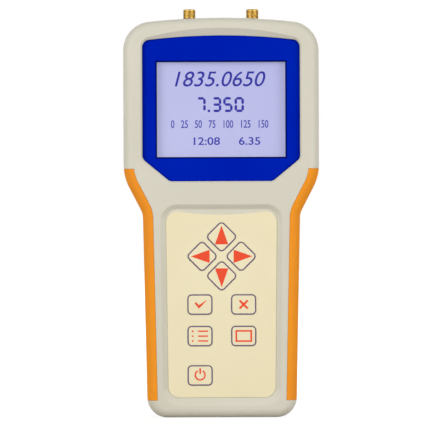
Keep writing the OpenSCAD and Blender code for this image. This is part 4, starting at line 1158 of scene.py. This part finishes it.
steelPaint = metal("zinc_steel", {
    "tintA": colour(176, 177, 180), "tintB": colour(196, 196, 194), "stainSize": 2.0,
    "grainSize": 0.25, "roughness": 0.28, "roughnessSpread": 0.2, "grainDepth": 0.006})


def screwRings(x, z, headY, width, headWidth, headHeight, length, pitch, count=32):
    # Rows from the middle of the head outwards, round its rim, along the threaded shank and to
    # the tip. The head is domed, and a cross is sunk where |x| or |z| is small.
    turns = np.linspace(0, 2 * math.pi, count, endpoint=False)
    rim, tipZ = headWidth / 2, headHeight + length
    inner = np.linspace(0.03, rim - 0.25, 14)
    dome = 0.12 * (inner / rim) ** 2
    across = np.abs(inner[:, None] * np.cos(turns))
    along = np.abs(inner[:, None] * np.sin(turns))
    slot = np.clip((width * 0.17 - np.minimum(across, along)) / 0.12, 0, 1)
    reach = np.clip((rim * 0.66 - inner) / 0.3, 0, 1)[:, None]
    sunk = slot * reach * headHeight * 0.55
    edge = np.array([[rim - 0.08, 0.16], [rim, 0.4], [rim, headHeight], [width / 2, headHeight]])
    tall = np.arange(headHeight + 0.2, tipZ - 0.8, pitch / 6)
    thread = width / 2 - 0.17 * width * ridge(tall[:, None], turns, pitch)
    tip = np.array([[width * 0.3, tipZ - 0.5], [0.05, tipZ]])
    radii = np.vstack([evenRows(inner, count), evenRows(edge[:, 0], count), thread,
                       evenRows(tip[:, 0], count)])
    depth = headY - np.vstack([dome[:, None] + sunk, evenRows(edge[:, 1], count),
                               evenRows(tall, count), evenRows(tip[:, 1], count)])
    return np.stack([x + radii * np.cos(turns), depth, z + radii * np.sin(turns)], -1)


def screws(name, node, spots, *measures):
    made = [skin("screw", screwRings(side * x, z, *measures)) for x, z in spots
            for side in (-1, 1)]
    return dress(smooth(joined(name, made), 40), steelPaint, "case", "screw_steel", node)


f = fastenSize
screws("case_cross_screws", "case_screws", bossPlaces,
       rearY - f["sink"] + f["screwHeadHeight"], f["screwWidth"], f["screwHead"],
       f["screwHeadHeight"], f["screwLength"], f["screwPitch"])
screws("board_cross_screws", "board_screws", boardPosts,
       boardBackY + f["smallHeadHeight"], f["smallWidth"], f["smallHead"],
       f["smallHeadHeight"], f["smallLength"], f["smallPitch"])
screws("display_cross_screws", "lcd_screws", displayPosts,
       displayBoardBackY + f["smallHeadHeight"], f["smallWidth"], f["smallHead"],
       f["smallHeadHeight"], f["smallLength"], f["smallPitch"])
print("screws done")


# Battery

cellSize = {"width": 14.2, "length": 50.5, "nubLength": 1.2, "nubWidth": 5.5, "pitch": 14.5,
            "y": 8.65}
springSize = {"length": 5.5, "wire": 0.7, "turns": 3.25, "baseRadius": 4.2, "topRadius": 2.7,
              "plate": 0.4}
cellsUp = [1, -1, 1, -1]
cellX = [(i - 1.5) * cellSize["pitch"] for i in range(4)]


def cellPaint(name, middle, up):
    # Shrink sleeve: deep blue with a bronze band towards the plus end, bare metal at both ends.
    # The share of each comes from the height along the cell.
    paint = Paint(name, coatWeight=0.4, coatRoughness=0.1)
    where = paint.spot(middle)
    _, _, z = paint.axes(where)
    along = z * up
    half = cellSize["length"] / 2
    sleeve = ((along + half - 0.3) * 20.0).clip() * ((half - 1.5 - along) * 20.0).clip()
    band = ((along - half + 13.0) * 20.0).clip()
    scuff = paint.noise(where, 1.4, 4.0, 0.65)
    printed = paint.mix(colour(24, 34, 92), colour(176, 110, 52), band)
    worn = paint.mix(printed, colour(140, 142, 150), scuff.ramp(0.66, 6.0) * 0.5)
    paint.set(baseColor=paint.mix(colour(190, 190, 188), worn, sleeve),
              metallic=1.0 - sleeve * 0.35, roughness=0.26 + scuff * 0.15)
    paint.bump(scuff, 0.01, 0.4)
    return paint.material


def cellShape(i):
    # Plus end up: flat base, rolled edges, can, shoulder and nub, turned over where it lies
    c, up = cellSize, cellsUp[i]
    middle = middleOf("battery_cell_%d" % (i + 1))
    r, n, half = c["width"] / 2, c["nubWidth"] / 2, c["length"] / 2
    top = half - c["nubLength"]
    rows = np.array([[0.05, -half + 0.25], [r - 1.3, -half + 0.25], [r - 0.9, -half],
                     [r - 0.3, -half + 0.08], [r - 0.05, -half + 0.35], [r, -half + 0.7],
                     [r, top - 0.7], [r - 0.08, top - 0.3], [r - 0.4, top], [r - 0.9, top],
                     [r - 1.1, top - 0.2], [n + 0.4, top - 0.2], [n, top + 0.1],
                     [n, half - 0.25], [n - 0.25, half], [0.05, half]])
    rows[:, 1] *= up
    made = turned("battery_cell_%d_can" % (i + 1), rows, middle, "z", 56)
    return smooth(made, 40), middle


for i in range(4):
    cell, middle = cellShape(i)
    dress(cell, cellPaint("cell_sleeve_%d" % (i + 1), middle, cellsUp[i]), "case", "cell_jacket",
          "battery_cell_%d" % (i + 1))


def springShape():
    # A round wire carried along a helix whose radius shrinks from the plate to the cell
    s = springSize
    wire = s["wire"] / 2
    t = np.linspace(0, 1, 150)[:, None]
    k = np.linspace(0, 2 * math.pi, 12, endpoint=False)[None, :]
    angle = 2 * math.pi * s["turns"] * t
    reach = s["baseRadius"] + (s["topRadius"] - s["baseRadius"]) * t + wire * np.cos(k)
    rise = wire + 0.1 + (s["length"] - s["wire"] - 0.2) * t + wire * np.sin(k)
    springs = []
    for x, up in zip(cellX, cellsUp):
        z = baySize["z0"] + s["plate"] + rise if up > 0 else baySize["z1"] - s["plate"] - rise
        springs.append(skin("spring", np.stack([x + reach * np.cos(angle),
                                                cellSize["y"] + reach * np.sin(angle), z], -1)))
    return smooth(joined("battery_spring_wires", springs), 60)


nickelPaint = metal("nickel_steel", {
    "tintA": colour(190, 188, 182), "tintB": colour(206, 203, 196), "stainSize": 3.0,
    "grainSize": 0.3, "roughness": 0.24, "roughnessSpread": 0.15, "grainDepth": 0.005})
dress(springShape(), nickelPaint, "case", "spring_steel", "battery_springs")
print("battery done")


# Finishes of the CAD nodes that stay

def boardPaint(name, middle):
    # Solder mask: green with darker weave, copper tracks where a stretched noise crosses zero
    paint = Paint(name, coatWeight=0.3, coatRoughness=0.15)
    where = paint.spot(middle)
    weave = paint.noise(where, 0.6, 2.0)
    lane = paint.noise(paint.spot(middle, (1, 1, 0.25)), 2.2, 1.0)
    track = (1.0 - abs(lane - 0.5) * 40.0).clip()
    mask = paint.mix(colour(18, 84, 44), colour(28, 104, 56), weave)
    paint.set(baseColor=paint.mix(mask, colour(58, 138, 84), track * 0.7),
              roughness=0.3 + weave * 0.12)
    paint.bump(track, 0.03, 0.5)
    return paint.material


blackPaint = moulded("satin_black_plastic", {
    "tintA": colour(34, 34, 36), "tintB": colour(42, 42, 44), "fleck": colour(64, 64, 66),
    "fleckShare": 0.4, "driftSize": 12, "grainSize": 0.3, "grainDepth": 0.015,
    "roughness": 0.42, "roughnessSpread": 0.2})
whitePaint = moulded("white_insulator", {
    "tintA": colour(238, 238, 234), "tintB": colour(230, 230, 226),
    "fleck": colour(210, 210, 204), "fleckShare": 0.3, "driftSize": 8, "grainSize": 0.25,
    "grainDepth": 0.008, "roughness": 0.4, "roughnessSpread": 0.1})
foamPaint = moulded("dark_foam", {
    "tintA": colour(54, 54, 56), "tintB": colour(62, 62, 63), "fleck": colour(26, 26, 27),
    "fleckShare": 1.6, "driftSize": 8, "grainSize": 0.4, "grainDepth": 0.15,
    "roughness": 0.85, "roughnessSpread": 0.2, "bump": 1.0, "gloss": 0.2})
tinPaint = metal("tin_plate", {
    "tintA": colour(186, 186, 183), "tintB": colour(204, 204, 200), "stainSize": 6.0,
    "grainSize": 0.4, "stretch": (1, 1, 0.15), "roughness": 0.26, "roughnessSpread": 0.2,
    "grainDepth": 0.006})
greenPaint = boardPaint("green_board", (0, 0, 100))
finishes = {
    "lcd_frame": tinPaint, "lcd_backlight": whitePaint, "lcd_board": greenPaint,
    "lcd_header": blackPaint, "main_board": greenPaint, "rf_shield": tinPaint,
    "board_chips": blackPaint, "usb_socket": tinPaint, "jack_insulators": whitePaint,
    "jack_contacts": goldPaint, "battery_contact_plates": nickelPaint,
    "door_foam_pad": foamPaint}
for name in keyNames:
    finishes["plunger_" + name] = blackPaint
    finishes["switch_" + name] = blackPaint
for name, finish in finishes.items():
    kept = nodes[name]
    if not kept.material_slots:
        kept.data.materials.append(finish)
    for held in kept.material_slots:
        held.material = finish
print("finishes done")


# Floor, camera and lights

def whiteForCamera(sheet, plain):
    # 1 for what the camera sees, straight or in metal and glass; the plain share otherwise
    rayPath = sheet.tree.nodes.new("ShaderNodeLightPath")
    camera, glossy, clear = (Wire(sheet, rayPath.outputs["Is %s Ray" % kind])
                             for kind in ("Camera", "Glossy", "Transmission"))
    return plain + camera.most(glossy).most(clear) * (1.0 - plain)


stageSize = {"floor": 4.0, "floorTint": (0.45, 0.43, 0.41, 1), "floorKeeps": 0.25,
             "shadowReach": 500.0, "glow": 1.22, "worldLight": 0.25}
reach = stageSize["floor"]
floorMesh = bpy.data.meshes.new("floor")
floorMesh.from_pydata([(-reach, -reach, 0), (reach, -reach, 0), (reach, reach, 0),
                       (-reach, reach, 0)], [], [(0, 1, 2, 3)])
floor = addObject("floor", floorMesh)
floorPaint = Paint("pale_floor", baseColor=stageSize["floorTint"], roughness=0.9)
glow = floorPaint.node("ShaderNodeEmission", {},
                       {"Color": (1, 1, 1, 1), "Strength": stageSize["glow"]})
across, along, _ = floorPaint.axes(floorPaint.spot())
near = (1.0 - (across * across + along * along) / stageSize["shadowReach"] ** 2).clip()
shareSeen = whiteForCamera(floorPaint, 0.0) * (1.0 - near * stageSize["floorKeeps"])
mixed = floorPaint.node("ShaderNodeMixShader", {}, {
    0: shareSeen, 1: Wire(floorPaint, floorPaint.shader.outputs[0]), 2: glow})
floorPaint.feed(floorPaint.tree.nodes["Material Output"].inputs[0], mixed)
floorMesh.materials.append(floorPaint.material)

world = bpy.data.worlds.new("studio")
bpy.context.scene.world = world
world.use_nodes = True
sky = Sheet(world.node_tree)
background = world.node_tree.nodes["Background"]
background.inputs["Color"].default_value = (1, 1, 1, 1)
sky.feed(background.inputs["Strength"], whiteForCamera(sky, stageSize["worldLight"]))

cameraSize = {"distance": 1.35, "frameWidth": 0.2295, "azimuth": 0.0, "roll": -0.2,
              "target": (0.0, -0.0135, 0.1014)}


def aim(thing, target, roll=0.0):
    # Turns a camera or lamp towards the target, rolled about its line of sight
    away = thing.location - Vector(target)
    turn = away.to_track_quat("Z", "Y").to_matrix().to_4x4()
    thing.matrix_world = (Matrix.Translation(thing.location) @ turn
                          @ Matrix.Rotation(math.radians(roll), 4, "Z"))


c = cameraSize
lens = bpy.data.cameras.new("camera")
lens.sensor_width = 36.0
lens.lens = 36.0 * c["distance"] / c["frameWidth"]
lens.clip_start, lens.clip_end = 0.05, 20.0
camera = addObject("camera", lens)
turn = math.radians(c["azimuth"])
camera.location = Vector(c["target"]) + c["distance"] * Vector((math.sin(turn),
                                                               -math.cos(turn), 0))
aim(camera, c["target"], c["roll"])
bpy.context.scene.camera = camera

lampSizes = [
    {"name": "key", "at": (-1.15, -1.1, 0.53), "size": 0.9, "power": 16.8},
    {"name": "fill", "at": (1.2, -1.05, 0.47), "size": 0.9, "power": 15.0},
    {"name": "back", "at": (0.3, 1.5, 0.7), "size": 0.9, "power": 15.0},
]
for lampSize in lampSizes:
    lamp = bpy.data.lights.new(lampSize["name"], "AREA")
    lamp.size, lamp.energy = lampSize["size"], lampSize["power"]
    holder = addObject(lampSize["name"], lamp)
    holder.location = lampSize["at"]
    aim(holder, (0, 0, 0.11))

bpy.context.scene.view_settings.view_transform = "Standard"
